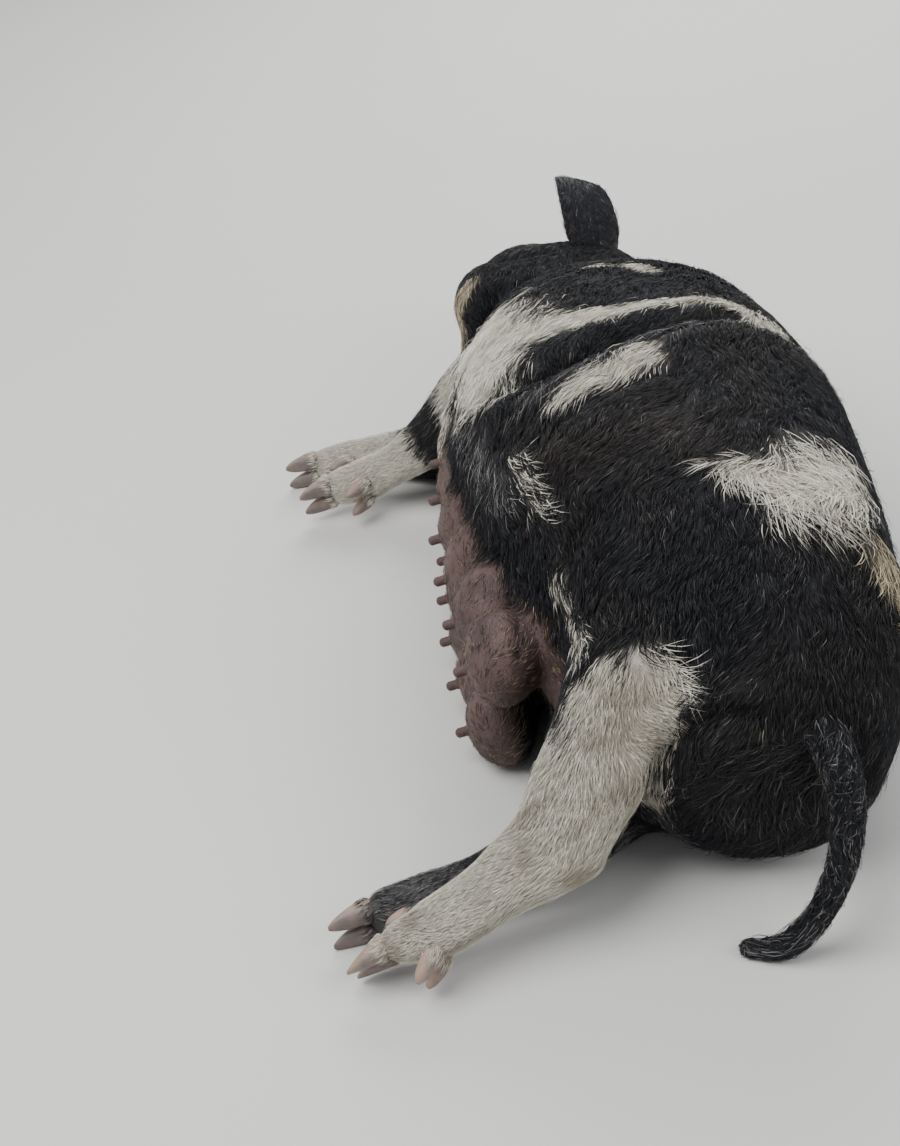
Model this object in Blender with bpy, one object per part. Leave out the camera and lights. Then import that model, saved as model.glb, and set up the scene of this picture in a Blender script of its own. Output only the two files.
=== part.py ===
"""A kunekune sow at life size, asleep on her right side with her belly and legs to one side.

The frame is in metres: +X runs from her belly to her back, +Y from her tail to her head, and +Z up from
the floor. The origin lies on the floor under the middle of the barrel.
"""

import math

import bmesh
import bpy
import numpy as np
from mathutils import Matrix, Vector
from mathutils.bvhtree import BVHTree

# Driving dimensions of the trunk.
TRUNK_LENGTH = 1.12
TRUNK_START = -0.575
BELLY_REACH = 0.265
BACK_REACH = 0.250
FLANK_HEIGHT = 0.415

# The trunk's sections from tail to head: share of the length, then of the belly's reach, the back's reach
# and the flank's height, and the height of the underside before the floor flattens it.
TRUNK_SECTIONS = (
    (0.000, 0.05, 0.46, 0.56, 0.100),
    (0.022, 0.26, 0.66, 0.69, 0.030),
    (0.094, 0.49, 0.83, 0.82, -0.010),
    (0.192, 0.66, 0.94, 0.91, -0.020),
    (0.335, 0.89, 0.98, 0.97, -0.025),
    (0.496, 1.00, 1.00, 1.00, -0.025),
    (0.638, 0.97, 0.92, 0.95, -0.025),
    (0.746, 0.87, 0.86, 0.87, -0.020),
    (0.835, 0.77, 0.79, 0.77, -0.015),
    (0.906, 0.73, 0.70, 0.68, -0.010),
    (0.960, 0.70, 0.59, 0.61, -0.005),
    (1.005, 0.66, 0.47, 0.54, 0.000),
    (1.030, 0.50, 0.34, 0.43, 0.030),
)
TRUNK_SQUARENESS = 2.25

# The head's own frame: forward to the snout, up to the crown, left to the upper side as she lies.
HEAD_PLACE = Vector((-0.045, 0.600, 0.120))
HEAD_FORWARD = Vector((-0.14, 0.94, -0.24)).normalized()
HEAD_LEFT = Vector((-0.03, 0.20, 1.0))

# The head's sections from nape to snout: forward place, crown's height, throat's depth, half breadth.
HEAD_SECTIONS = (
    (-0.150, 0.060, -0.120, 0.070),
    (-0.120, 0.115, -0.165, 0.103),
    (-0.075, 0.136, -0.180, 0.118),
    (-0.030, 0.138, -0.172, 0.122),
    (0.010, 0.126, -0.152, 0.112),
    (0.038, 0.108, -0.130, 0.100),
    (0.060, 0.080, -0.112, 0.084),
    (0.080, 0.059, -0.092, 0.072),
    (0.100, 0.049, -0.070, 0.062),
    (0.120, 0.047, -0.052, 0.055),
    (0.140, 0.046, -0.044, 0.051),
    (0.170, 0.045, -0.042, 0.050),
)
HEAD_SQUARENESS = 2.15

# Masses added to the head: forward, up and left place, then the half sizes the same way round.
# Those with a left place are built on both sides.
HEAD_MASSES = (
    ("cheek", (-0.010, -0.060, 0.062), (0.085, 0.075, 0.058)),
    ("jowl", (-0.045, -0.120, 0.040), (0.085, 0.068, 0.070)),
    ("brow", (0.042, 0.066, 0.062), (0.034, 0.024, 0.026)),
    ("jaw", (0.062, -0.078, 0.000), (0.068, 0.036, 0.054)),
    ("chin", (0.102, -0.060, 0.000), (0.036, 0.022, 0.034)),
)

# Each leg from its root in the trunk to the foot: the joints, with the half sizes along and across the leg's
# own plane, which lies nearly level as she does. Its roll turns the foot's front up, in degrees, its dewclaws
# point along the foot, to its front and aside, and its cuts are places along it, counted in joints.
LEGS = {
    "hind_left": {
        "joints": (
            ((0.060, -0.360, 0.250), 0.145, 0.105),
            ((-0.060, -0.400, 0.255), 0.100, 0.088),
            ((-0.112, -0.497, 0.200), 0.065, 0.058),
            ((-0.192, -0.581, 0.107), 0.054, 0.046),
            ((-0.259, -0.607, 0.083), 0.039, 0.036),
            ((-0.318, -0.635, 0.064), 0.034, 0.031),
        ),
        "heel": (-0.155, -0.603, 0.104),
        "toes": (-0.93, -0.02, -0.36),
        "roll": 30.0,
        "dewclaws": (0.72, -0.65, 0.06),
        "cuts": (1.65, 3.25, 4.75),
    },
    "hind_right": {
        "joints": (
            ((0.040, -0.350, 0.100), 0.150, 0.090),
            ((-0.110, -0.400, 0.068), 0.100, 0.075),
            ((-0.150, -0.460, 0.048), 0.070, 0.055),
            ((-0.185, -0.505, 0.037), 0.046, 0.042),
            ((-0.250, -0.532, 0.030), 0.035, 0.034),
            ((-0.335, -0.563, 0.030), 0.031, 0.031),
        ),
        "heel": (-0.160, -0.528, 0.037),
        "toes": (-0.97, -0.15, -0.10),
        "roll": 0.0,
        "dewclaws": (0.93, -0.30, 0.10),
        "cuts": (1.6, 3.25, 4.75),
    },
    "fore_left": {
        "joints": (
            ((-0.030, 0.290, 0.240), 0.130, 0.095),
            ((-0.165, 0.262, 0.220), 0.075, 0.062),
            ((-0.235, 0.262, 0.160), 0.052, 0.047),
            ((-0.285, 0.275, 0.102), 0.042, 0.038),
            ((-0.334, 0.274, 0.072), 0.035, 0.032),
            ((-0.374, 0.267, 0.058), 0.032, 0.031),
        ),
        "heel": None,
        "toes": (-0.96, -0.10, -0.20),
        "roll": 10.0,
        "dewclaws": (0.80, -0.55, 0.10),
        "cuts": (1.45, 3.1, 4.7),
    },
    "fore_right": {
        "joints": (
            ((-0.040, 0.315, 0.090), 0.120, 0.085),
            ((-0.180, 0.332, 0.054), 0.070, 0.060),
            ((-0.255, 0.352, 0.041), 0.050, 0.046),
            ((-0.314, 0.367, 0.035), 0.041, 0.039),
            ((-0.362, 0.370, 0.031), 0.035, 0.033),
            ((-0.396, 0.367, 0.030), 0.032, 0.031),
        ),
        "heel": None,
        "toes": (-0.98, -0.06, -0.08),
        "roll": 0.0,
        "dewclaws": (0.80, -0.55, 0.10),
        "cuts": (1.5, 3.1, 4.7),
    },
}
LEG_PARTS = {"hind": ("gaskin", "cannon", "foot"), "fore": ("forearm", "cannon", "foot")}

# Half sizes along and across the heel, each toe and the spur behind it, from root to end.
HEEL_SIZES = ((0.040, 0.034, 0.024), (0.036, 0.032, 0.022))
TOE_SIZES = ((0.025, 0.023, 0.0195), (0.018, 0.018, 0.0155))
SPUR_SIZES = ((0.018, 0.015, 0.012), (0.016, 0.014, 0.011))
TOE_LENGTH = 0.050
TOE_SPREAD = 0.0135
SPUR_REACH = 0.020

# Claws and dewclaws: where they start, their length, and their half height and half breadth at the root.
CLAW_START = 0.050
CLAW_LENGTH = 0.052
CLAW_HALF_HEIGHT = 0.0165
CLAW_HALF_BREADTH = 0.0125
CLAW_SPLAY = 0.02
DEWCLAW_LENGTH = 0.044
DEWCLAW_HALF = 0.0110
# A claw's stations as shares of its length and breadth. Its front slopes down to a straight sole.
CLAW_STATIONS = ((0.0, 1.0), (0.30, 1.0), (0.58, 0.92), (0.80, 0.70), (0.94, 0.40), (1.0, 0.16))
CLAW_FALL = 1.62
CLAW_BEND = 1.20
CLAW_SOLE = (0.90, 0.06)
CLAW_EDGE = 0.0022
DEWCLAW_STATIONS = ((0.0, 1.0), (0.40, 1.0), (0.80, 0.66), (1.0, 0.20))

# The udder's two rows of glands, as height and shift, and how its middle swells. Each gland has a teat.
GLANDS_A_ROW = 6
GLAND_STEP = 0.090
GLAND_FIRST = -0.345
GLAND_ROWS = ((0.182, 0.000), (0.056, 0.044))
GLAND_REACH = 0.190
GLAND_SWELL = 0.045
SWELL_MIDDLE = -0.080
SWELL_TURN = 3.2
GLAND_HALF_SIZES = (0.046, 0.056, 0.058)
TEAT_LENGTH = 0.015
TEAT_RADIUS = 0.0066
TEAT_WAY = (-1.0, 0.0, -0.25)

# The tail from its root down to the floor, and its radius along it.
TAIL_PATH = (
    (0.085, -0.535, 0.225),
    (0.100, -0.590, 0.205),
    (0.106, -0.622, 0.165),
    (0.096, -0.645, 0.110),
    (0.072, -0.658, 0.055),
    (0.040, -0.660, 0.018),
    (0.004, -0.650, 0.009),
)
TAIL_RADII = (0.022, 0.020, 0.017, 0.014, 0.012, 0.011, 0.008)
TAIL_CUT = ((0.082, -0.654, 0.078), (-0.40, -0.15, -0.90))

# Snout disc, eyes, ears and tassels, in the head's frame.
SNOUT_START = 0.142
SNOUT_RISE = 0.003
SNOUT_HALF_HEIGHT = 0.044
SNOUT_HALF_BREADTH = 0.049
SNOUT_THICKNESS = 0.015
# The disc's edge as depths with the share of its full size there.
SNOUT_PROFILE = ((0.000, 0.93), (0.003, 1.0), (0.010, 1.0), (0.014, 0.95), (0.015, 0.84), (0.0135, 0.70))
NOSTRIL_PLACE = (0.002, 0.0175)
NOSTRIL_HALF_SIZES = (0.010, 0.0090, 0.0065)
MOUTH_LINE = ((0.034, -0.052), (0.054, -0.058), (0.078, -0.056), (0.100, -0.051), (0.120, -0.047))
MOUTH_FRONT = (0.100, -0.046, 0.024)
MOUTH_WIDTH = 0.0032
EYE_RADIUS = 0.0125
EYE_PLACE = (0.052, 0.040)
EYE_SINK = 0.72
EYE_TURN = 0.2
LID_THICKNESS = 0.0030
LID_SHAPE = (1.30, 1.08, 1.00)
LID_OPENING = (0.0112, 0.0042, 0.0108)
SOCKET_ROOM = 0.0004
EARS = {
    "ear_left": {
        "root": (-0.050, 0.050, 0.092),
        "along": (0.10, -0.10, 1.00),
        "outer": (0.05, -1.00, 0.00),
    },
    "ear_right": {
        "root": (-0.045, 0.100, -0.078),
        "along": (0.30, 0.95, -0.16),
        "outer": (0.95, -0.30, 0.00),
    },
}
# An ear's stations: share of its length, half breadth, depth of its cup, forward bend, and shift to its outer edge.
EAR_LENGTH = 0.135
EAR_STATIONS = (
    (-0.10, 0.028, 0.024, 0.000, 0.000),
    (0.06, 0.034, 0.028, 0.000, 0.000),
    (0.22, 0.039, 0.026, -0.002, 0.001),
    (0.42, 0.040, 0.022, -0.002, 0.002),
    (0.60, 0.038, 0.018, 0.002, 0.004),
    (0.74, 0.033, 0.013, 0.010, 0.008),
    (0.85, 0.021, 0.008, 0.022, 0.019),
    (0.95, 0.006, 0.003, 0.034, 0.033),
)
EAR_THICKNESS = 0.0052
EAR_POINTS = 7
EAR_THINNING = 0.55
TASSELS = {"tassel_left": (0.055, -0.108, 0.030), "tassel_right": (0.060, -0.106, -0.014)}
TASSEL_LENGTH = 0.048
TASSEL_RADIUS = 0.0095
TASSEL_DROOP = 0.60
# A tassel's stations as shares of its length and radius.
TASSEL_STATIONS = ((-0.25, 0.55), (0.10, 0.60), (0.45, 0.85), (0.75, 1.00), (0.92, 0.80))

# Folds of skin: places along each near the skin, its depth, and its half width. Those of the body cross the
# shoulder, the middle and the end of the neck, then run round the flank and between the hams.
BODY_FOLDS = (
    (
        ((-0.235, 0.060, 0.240), (-0.185, -0.040, 0.350), (-0.115, -0.062, 0.395), (-0.010, -0.020, 0.410),
         (0.090, 0.024, 0.400), (0.177, 0.030, 0.355), (0.235, 0.020, 0.260)),
        0.013, 0.020,
    ),
    (
        ((-0.220, 0.230, 0.240), (-0.160, 0.180, 0.350), (-0.066, 0.200, 0.375), (0.046, 0.215, 0.370),
         (0.150, 0.240, 0.320), (0.215, 0.240, 0.220)),
        0.008, 0.022,
    ),
    (
        ((-0.205, 0.450, 0.100), (-0.190, 0.462, 0.200), (-0.100, 0.468, 0.260), (0.020, 0.470, 0.265),
         (0.120, 0.470, 0.220), (0.170, 0.465, 0.120)),
        0.009, 0.020,
    ),
    (
        ((-0.200, -0.360, 0.220), (-0.190, -0.400, 0.290), (-0.140, -0.330, 0.330), (-0.060, -0.300, 0.375)),
        0.006, 0.018,
    ),
    (
        ((-0.098, -0.530, 0.143), (-0.070, -0.541, 0.185), (-0.040, -0.545, 0.232), (0.000, -0.560, 0.250),
         (0.060, -0.560, 0.240)),
        0.014, 0.018,
    ),
)
NECK_FOLD = 2
# The face's and jaw's folds, as forward and up places in the head's frame, laid on both sides.
HEAD_FOLDS = (
    (((-0.070, -0.010), (-0.062, -0.060), (-0.040, -0.105), (-0.010, -0.135)), 0.006, 0.014),
    (((0.030, -0.030), (0.022, -0.060), (0.026, -0.092), (0.040, -0.115)), 0.005, 0.011),
    (((0.078, 0.058), (0.060, 0.020), (0.050, 0.012), (0.030, 0.014)), 0.0035, 0.009),
    (((0.018, 0.072), (0.030, 0.058), (0.052, 0.058), (0.070, 0.066)), 0.0035, 0.008),
    (((0.030, -0.050), (0.054, -0.058), (0.078, -0.056), (0.100, -0.051), (0.130, -0.046)), 0.0035, 0.0065),
)
FOLD_RIDGE = 0.35

# Zones of locks, where the coat is long: what each grows on, places along its upper edge, how many rows and
# columns it has, how far the rows are apart along the coat's lie, the locks' length and width, and the lie.
LOCK_ZONES = {
    "flank_patch": (
        "body", ((-0.050, -0.265, 0.390), (0.060, -0.270, 0.385), (0.150, -0.235, 0.360), (0.225, -0.195, 0.280)),
        2, 7, 0.078, 0.118, 0.048, (0.12, -1.0, 0.0),
    ),
    "shoulder_band": (
        "body", ((-0.205, 0.085, 0.320), (-0.108, 0.025, 0.400), (0.000, 0.050, 0.410), (0.130, 0.085, 0.380),
                 (0.215, 0.065, 0.300)),
        1, 9, 0.050, 0.095, 0.048, (0.00, -1.0, 0.0),
    ),
    "side": (
        "body", ((-0.185, -0.075, 0.350), (-0.090, -0.105, 0.400), (0.050, -0.085, 0.410), (0.170, -0.080, 0.360),
                 (0.228, -0.070, 0.280)),
        2, 7, 0.078, 0.105, 0.050, (0.05, -1.0, 0.0),
    ),
    "withers": (
        "body", ((-0.185, 0.255, 0.300), (-0.090, 0.250, 0.375), (0.050, 0.260, 0.385), (0.170, 0.265, 0.310)),
        1, 7, 0.080, 0.100, 0.048, (0.00, -1.0, 0.05),
    ),
    "nape": (
        "body", ((-0.160, 0.440, 0.265), (0.000, 0.450, 0.300), (0.110, 0.440, 0.270), (0.190, 0.420, 0.170)),
        1, 7, 0.085, 0.100, 0.048, (0.00, -1.0, 0.15),
    ),
    "crest": (
        "body", ((0.222, 0.330, 0.200), (0.224, 0.330, 0.110)),
        6, 2, 0.098, 0.125, 0.058, (0.02, -1.0, 0.0),
    ),
    "throat": (
        "body", ((-0.195, 0.420, 0.080), (-0.200, 0.425, 0.160), (-0.190, 0.420, 0.220)),
        1, 3, 0.080, 0.090, 0.040, (-0.25, -1.0, -0.25),
    ),
    "belly_edge": (
        "body", ((-0.200, -0.060, 0.320), (-0.190, -0.140, 0.335), (-0.172, -0.215, 0.330), (-0.150, -0.290, 0.330)),
        1, 5, 0.040, 0.085, 0.038, (-0.55, -0.80, -0.35),
    ),
    "stifle": (
        "body", ((-0.020, -0.430, 0.335), (-0.070, -0.410, 0.330), (-0.115, -0.400, 0.320)),
        2, 3, 0.052, 0.090, 0.040, (-0.15, -0.80, -0.50),
    ),
    "rump": (
        "body", ((0.040, -0.455, 0.340), (0.120, -0.445, 0.330), (0.195, -0.410, 0.260), (0.228, -0.390, 0.160)),
        2, 6, 0.080, 0.115, 0.052, (0.00, -0.90, -0.35),
    ),
    "gaskin_fringe": (
        "hind_left", ((-0.075, -0.545, 0.215), (-0.105, -0.570, 0.170), (-0.130, -0.600, 0.130)),
        1, 3, 0.030, 0.070, 0.028, (0.05, -0.55, -0.80),
    ),
    "gaskin_front": (
        "hind_left", ((-0.155, -0.480, 0.230), (-0.120, -0.490, 0.255), (-0.080, -0.515, 0.250)),
        2, 2, 0.045, 0.078, 0.038, (-0.30, -0.70, -0.65),
    ),
    "jowl_fringe": (
        "head", ((-0.215, 0.560, 0.205), (-0.228, 0.575, 0.140), (-0.215, 0.580, 0.070)),
        1, 4, 0.040, 0.060, 0.030, (-0.35, -0.85, -0.25),
    ),
    "forelock": (
        "head", ((0.035, 0.640, 0.165), (0.055, 0.620, 0.110), (0.060, 0.610, 0.060)),
        1, 3, 0.040, 0.062, 0.034, (0.45, -0.85, 0.15),
    ),
    "tail_tuft": (
        "tail_tuft", ((0.050, -0.668, 0.036), (0.030, -0.668, 0.024), (0.005, -0.664, 0.018)),
        1, 4, 0.010, 0.050, 0.014, (-0.95, 0.10, 0.10),
    ),
}
# A lock's stations: share of its length, share of its width, and how high its underside stands off the skin.
LOCK_STATIONS = (
    (0.00, 0.60, -0.0070),
    (0.34, 1.00, 0.0035),
    (0.74, 0.72, 0.0070),
    (1.00, 0.04, 0.0055),
)
LOCK_THICKNESS = 0.0050
LOCK_CURL = 0.45
LOCK_SPREAD = 0.20
LOCK_SEED = 11
LOCK_FLOOR = 0.002

# How fine the flesh is fused, how far its masses run into each other, and how many faces it keeps.
BLEND = 0.0016
TRUNK_GRAIN = 0.008
TRUNK_FACES = 2700
HEAD_GRAIN = 0.0050
HEAD_FACES = 1800
LEG_GRAIN = 0.0050
LEG_FACES = 430

# The trunk's cuts between its nodes: a place on each, and the way each faces.
CUTS = {
    "head": ((0.0, 0.512, 0.0), (-0.08, 1.0, -0.12)),
    "neck": ((0.0, 0.400, 0.0), (-0.10, 1.0, 0.05)),
    "chest": ((0.0, 0.120, 0.0), (0.0, 1.0, 0.0)),
    "barrel": ((0.0, -0.270, 0.0), (0.10, 1.0, 0.0)),
}
UDDER_BOX = ((-0.340, -0.404, -0.100), (-0.192, 0.206, 0.237))

GAP = 0.0003
LIMB_ROOM = 0.0025
FLOOR_REACH = 3.0
# How far the boxes that cut reach: past all of her, past a limb, and past a foot, a tail or the head's end.
PAST_BODY = 2.0
PAST_LIMB = 0.6
PAST_END = 0.3
RING_POINTS = 32
TUBE_POINTS = 20

# Finishes by the words of the nodes that they are on: colour, roughness and metallic value.
FINISHES = {
    "claw": ((0.36, 0.29, 0.24), 0.50, 0.0),
    "eye": ((0.020, 0.012, 0.008), 0.10, 0.0),
    "snout": ((0.050, 0.035, 0.035), 0.45, 0.0),
    "udder": ((0.110, 0.070, 0.060), 0.60, 0.0),
    "hind_left": ((0.46, 0.42, 0.35), 0.75, 0.0),
}
BLACK_COAT = ((0.016, 0.016, 0.019), 0.70, 0.0)


def clear_scene():
    """Removes what the file opened with."""
    for obj in list(bpy.data.objects):
        bpy.data.objects.remove(obj)


def head_frame():
    """The matrix that takes forward, up and left places of the head into the row frame."""
    up = HEAD_FORWARD.cross(HEAD_LEFT).normalized()
    left = up.cross(HEAD_FORWARD)
    turned = Matrix((HEAD_FORWARD, up, left)).transposed().to_4x4()
    return Matrix.Translation(HEAD_PLACE) @ turned


HEAD = head_frame()


def in_head(forward, up, left):
    """A place of the head in the row frame."""
    return HEAD @ Vector((forward, up, left))


def head_way(forward, up, left):
    """A direction of the head in the row frame."""
    return (HEAD.to_3x3() @ Vector((forward, up, left))).normalized()


def new_object(name, shape):
    """A mesh object from a bmesh, which it frees. Fixed triangles keep a piece and its grown room parallel."""
    bmesh.ops.triangulate(shape, faces=shape.faces, quad_method="FIXED")
    bmesh.ops.recalc_face_normals(shape, faces=shape.faces)
    mesh = bpy.data.meshes.new(name)
    shape.to_mesh(mesh)
    shape.free()
    obj = bpy.data.objects.new(name, mesh)
    bpy.context.scene.collection.objects.link(obj)
    return obj


def copy_of(obj, name):
    """A second object with its own mesh."""
    copy = bpy.data.objects.new(name, obj.data.copy())
    bpy.context.scene.collection.objects.link(copy)
    return copy


def settle(obj):
    """Turns what the modifiers make of an object into its own mesh."""
    bpy.context.view_layer.update()
    graph = bpy.context.evaluated_depsgraph_get()
    mesh = bpy.data.meshes.new_from_object(obj.evaluated_get(graph))
    obj.modifiers.clear()
    obj.data = mesh
    return obj


def keep_largest(obj):
    """Drops all but the largest closed surface."""
    shape = bmesh.new()
    shape.from_mesh(obj.data)
    left, groups = set(shape.verts), []
    while left:
        todo, group = [left.pop()], []
        while todo:
            vert = todo.pop()
            group.append(vert)
            for edge in vert.link_edges:
                other = edge.other_vert(vert)
                if other in left:
                    left.remove(other)
                    todo.append(other)
        groups.append(group)
    groups.sort(key=len)
    for group in groups[:-1]:
        bmesh.ops.delete(shape, geom=group, context="VERTS")
    shape.to_mesh(obj.data)
    shape.free()
    return obj


def combine(obj, other, operation, solver="EXACT"):
    """Joins, cuts or intersects obj with other, and removes other."""
    modifier = obj.modifiers.new(operation, "BOOLEAN")
    modifier.operation = operation
    modifier.solver = solver
    modifier.object = other
    settle(obj)
    bpy.data.objects.remove(other)
    return keep_largest(obj)


def swollen(obj, distance):
    """A copy whose skin stands off by distance."""
    copy = copy_of(obj, "swollen")
    shape = bmesh.new()
    shape.from_mesh(copy.data)
    shape.normal_update()
    for vert, normal in [(vert, vert.normal.copy()) for vert in shape.verts]:
        vert.co += normal * distance
    shape.to_mesh(copy.data)
    shape.free()
    return copy


def skin_over(shape, rings):
    """Joins rings of as many points each into one closed surface."""
    loops = [[shape.verts.new(point) for point in ring] for ring in rings]
    count = len(loops[0])
    for near, far in zip(loops, loops[1:]):
        for i in range(count):
            j = (i + 1) % count
            shape.faces.new((near[i], near[j], far[j], far[i]))
    shape.faces.new(loops[0])
    shape.faces.new(reversed(loops[-1]))


def oval(centre, side, up, half_side, half_up, squareness=2.0, count=24):
    """Points round an oval, rounder or squarer."""
    points = []
    for i in range(count):
        angle = math.tau * i / count
        c, s = math.cos(angle), math.sin(angle)
        across = math.copysign(abs(c) ** (2 / squareness), c) * half_side
        along = math.copysign(abs(s) ** (2 / squareness), s) * half_up
        points.append(centre + side * across + up * along)
    return points


def ellipsoid(shape, matrix, half_sizes, segments=20):
    """A closed ellipsoid in the frame of matrix."""
    bmesh.ops.create_uvsphere(
        shape,
        u_segments=segments,
        v_segments=segments // 2 + 1,
        radius=1.0,
        matrix=matrix @ Matrix.Diagonal((*half_sizes, 1.0)),
    )


def tube(shape, points, widths, heights, up, count=TUBE_POINTS, last=None):
    """A closed tube through points with an oval section and rounded ends, as far as the point numbered last."""
    points = [Vector(point) for point in points]
    end = len(points) - 1
    last = end if last is None else last
    rings = []
    for i, point in enumerate(points[: last + 1]):
        along = (points[min(i + 1, end)] - points[max(i - 1, 0)]).normalized()
        side = along.cross(up).normalized()
        level = side.cross(along)
        rings.append(oval(point, side, level, widths[i], heights[i], count=count))
        if i in (0, last):
            outward = -along if i == 0 else along
            tip = point + outward * 0.8 * min(widths[i], heights[i])
            cap = oval(tip, side, level, widths[i] * 0.5, heights[i] * 0.5, count=count)
            rings.insert(0 if i == 0 else len(rings), cap)
    skin_over(shape, rings)


def box(name, low, high):
    """A box between two corners."""
    shape = bmesh.new()
    low, high = Vector(low), Vector(high)
    sizes = Matrix.Diagonal((*(high - low), 1.0))
    bmesh.ops.create_cube(shape, size=1.0, matrix=Matrix.Translation((low + high) / 2) @ sizes)
    return new_object(name, shape)


def slab(name, centre, along, near, far, wide):
    """A box that runs from near to far along a direction, and is wide on each side of it."""
    shape = bmesh.new()
    turn = Vector(along).to_track_quat("Z", "Y").to_matrix().to_4x4()
    place = Matrix.Translation(centre) @ turn @ Matrix.Translation((0, 0, (near + far) / 2))
    sizes = Matrix.Diagonal((2 * wide, 2 * wide, far - near, 1.0))
    bmesh.ops.create_cube(shape, size=1.0, matrix=place @ sizes)
    return new_object(name, shape)


def carve(obj, name, centre, along, far, wide):
    """Splits off what lies past a plane as a node of its own, a gap away from the rest."""
    part = combine(copy_of(obj, name), slab("part_slab", centre, along, 0, far, wide), "INTERSECT")
    combine(obj, slab("rest_slab", centre, along, -GAP, far, wide), "DIFFERENCE")
    return part


def flatten_below(obj):
    """Cuts off what the floor presses flat."""
    low = (-FLOOR_REACH, -FLOOR_REACH, -1.0)
    high = (FLOOR_REACH, FLOOR_REACH, 0.0)
    return combine(obj, box("floor", low, high), "DIFFERENCE")


def trunk(shape, first=0):
    """The barrel from rump to neck, as a loft of squarish ovals across it."""
    rings = []
    for share, belly, back, top, under in TRUNK_SECTIONS[first:]:
        low, high = -BELLY_REACH * belly, BACK_REACH * back
        roof = FLANK_HEIGHT * top
        centre = Vector(((low + high) / 2, TRUNK_START + TRUNK_LENGTH * share, (under + roof) / 2))
        across, up = Vector((1, 0, 0)), Vector((0, 0, 1))
        half_up = (roof - under) / 2
        rings.append(oval(centre, across, up, (high - low) / 2, half_up, TRUNK_SQUARENESS, RING_POINTS))
    skin_over(shape, rings)


def head_masses(shape):
    """The head as a loft from nape to snout, with its cheeks, jowls, brows and chin."""
    rings = []
    for forward, crown, throat, half in HEAD_SECTIONS:
        centre = in_head(forward, (crown + throat) / 2, 0)
        up, left = head_way(0, 1, 0), head_way(0, 0, 1)
        rings.append(oval(centre, up, left, (crown - throat) / 2, half, HEAD_SQUARENESS, RING_POINTS))
    skin_over(shape, rings)
    for _, place, half_sizes in HEAD_MASSES:
        for side in (1, -1) if place[2] else (1,):
            centre = Vector((place[0], place[1], place[2] * side))
            ellipsoid(shape, HEAD @ Matrix.Translation(centre), half_sizes)


def foot_frame(leg):
    """Where a leg's foot starts, the way its toes point, the way its front faces, and its upper side."""
    ankle = Vector(leg["joints"][-1][0])
    down = Vector(leg["toes"]).normalized()
    front = down.cross(Vector((0, 0, 1))).normalized()
    front = front if front.y > 0 else -front
    upper = front.cross(down)
    upper = upper if upper.z > 0 else -upper
    c, s = math.cos(math.radians(leg["roll"])), math.sin(math.radians(leg["roll"]))
    return ankle, down, front * c + upper * s, upper * c - front * s


def leg_masses(shape, leg, last=None):
    """One leg from its root to the toes, or only as far as one of its joints."""
    joints = leg["joints"]
    up = Vector((0, 0, 1))
    widths = [joint[1] for joint in joints]
    heights = [joint[2] for joint in joints]
    tube(shape, [joint[0] for joint in joints], widths, heights, up, last=last)
    if last is not None:
        return
    if leg["heel"]:
        hock, heel = Vector(joints[3][0]), Vector(leg["heel"])
        tube(shape, [hock, (hock + heel) / 2, heel], *HEEL_SIZES, up)
    ankle, down, front, upper = foot_frame(leg)
    for side in (1, -1):
        root = ankle + upper * side * TOE_SPREAD * 0.6
        toe = ankle + down * TOE_LENGTH + upper * side * TOE_SPREAD
        tube(shape, [root, (root + toe) / 2, toe], *TOE_SIZES, upper)
        spur = ankle - front * SPUR_REACH + upper * side * TOE_SPREAD
        tube(shape, [ankle, (ankle + spur) / 2, spur], *SPUR_SIZES, upper)


def gland_places():
    """The middle of each gland."""
    for height, shift in GLAND_ROWS:
        for i in range(GLANDS_A_ROW):
            y = GLAND_FIRST + GLAND_STEP * i + shift
            swell = GLAND_SWELL * math.cos((y - SWELL_MIDDLE) * SWELL_TURN)
            yield Vector((-GLAND_REACH - swell, y, height))


def udder_masses(shape):
    """Two rows of full glands along the belly."""
    for place in gland_places():
        ellipsoid(shape, Matrix.Translation(place), GLAND_HALF_SIZES)


def crease(obj, folds):
    """Presses folds into a skin, each with a soft ridge along both sides."""
    mesh = obj.data
    count = len(mesh.vertices)
    places, normals = np.empty(count * 3), np.empty(count * 3)
    mesh.vertices.foreach_get("co", places)
    mesh.vertices.foreach_get("normal", normals)
    places, normals = places.reshape(-1, 3), normals.reshape(-1, 3)
    tree = tree_of(obj)
    for path, depth, width in folds:
        points = np.array([tree.find_nearest(point)[0] for point in path])
        nearest = np.full(count, np.inf)
        share = np.zeros(count)
        for i, (start, end) in enumerate(zip(points, points[1:])):
            way = end - start
            along = np.clip((places - start) @ way / (way @ way), 0, 1)
            distance = np.linalg.norm(places - start - along[:, None] * way, axis=1)
            closer = distance < nearest
            nearest[closer] = distance[closer]
            share[closer] = (i + along[closer]) / (len(points) - 1)
        fade = np.clip(np.minimum(share, 1 - share) * 5, 0, 1)
        groove = np.exp(-((nearest / width) ** 2))
        ridge = FOLD_RIDGE * np.exp(-(((nearest - 2 * width) / width) ** 2))
        places += normals * (depth * fade * (ridge - groove))[:, None]
    mesh.vertices.foreach_set("co", places.ravel())
    mesh.update()


def fused(name, shape, grain, faces, folds=()):
    """Overlapping masses fused and blended into one creased skin of so many faces."""
    body = new_object(name, shape)
    remesh = body.modifiers.new("fuse", "REMESH")
    remesh.mode = "VOXEL"
    remesh.voxel_size = grain
    smooth = body.modifiers.new("blend", "SMOOTH")
    smooth.factor = 0.5
    smooth.iterations = round(BLEND / grain**2)
    settle(body)
    crease(body, folds)
    thin = body.modifiers.new("thin", "DECIMATE")
    thin.ratio = faces / (2 * len(body.data.polygons))
    return keep_largest(settle(body))


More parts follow.
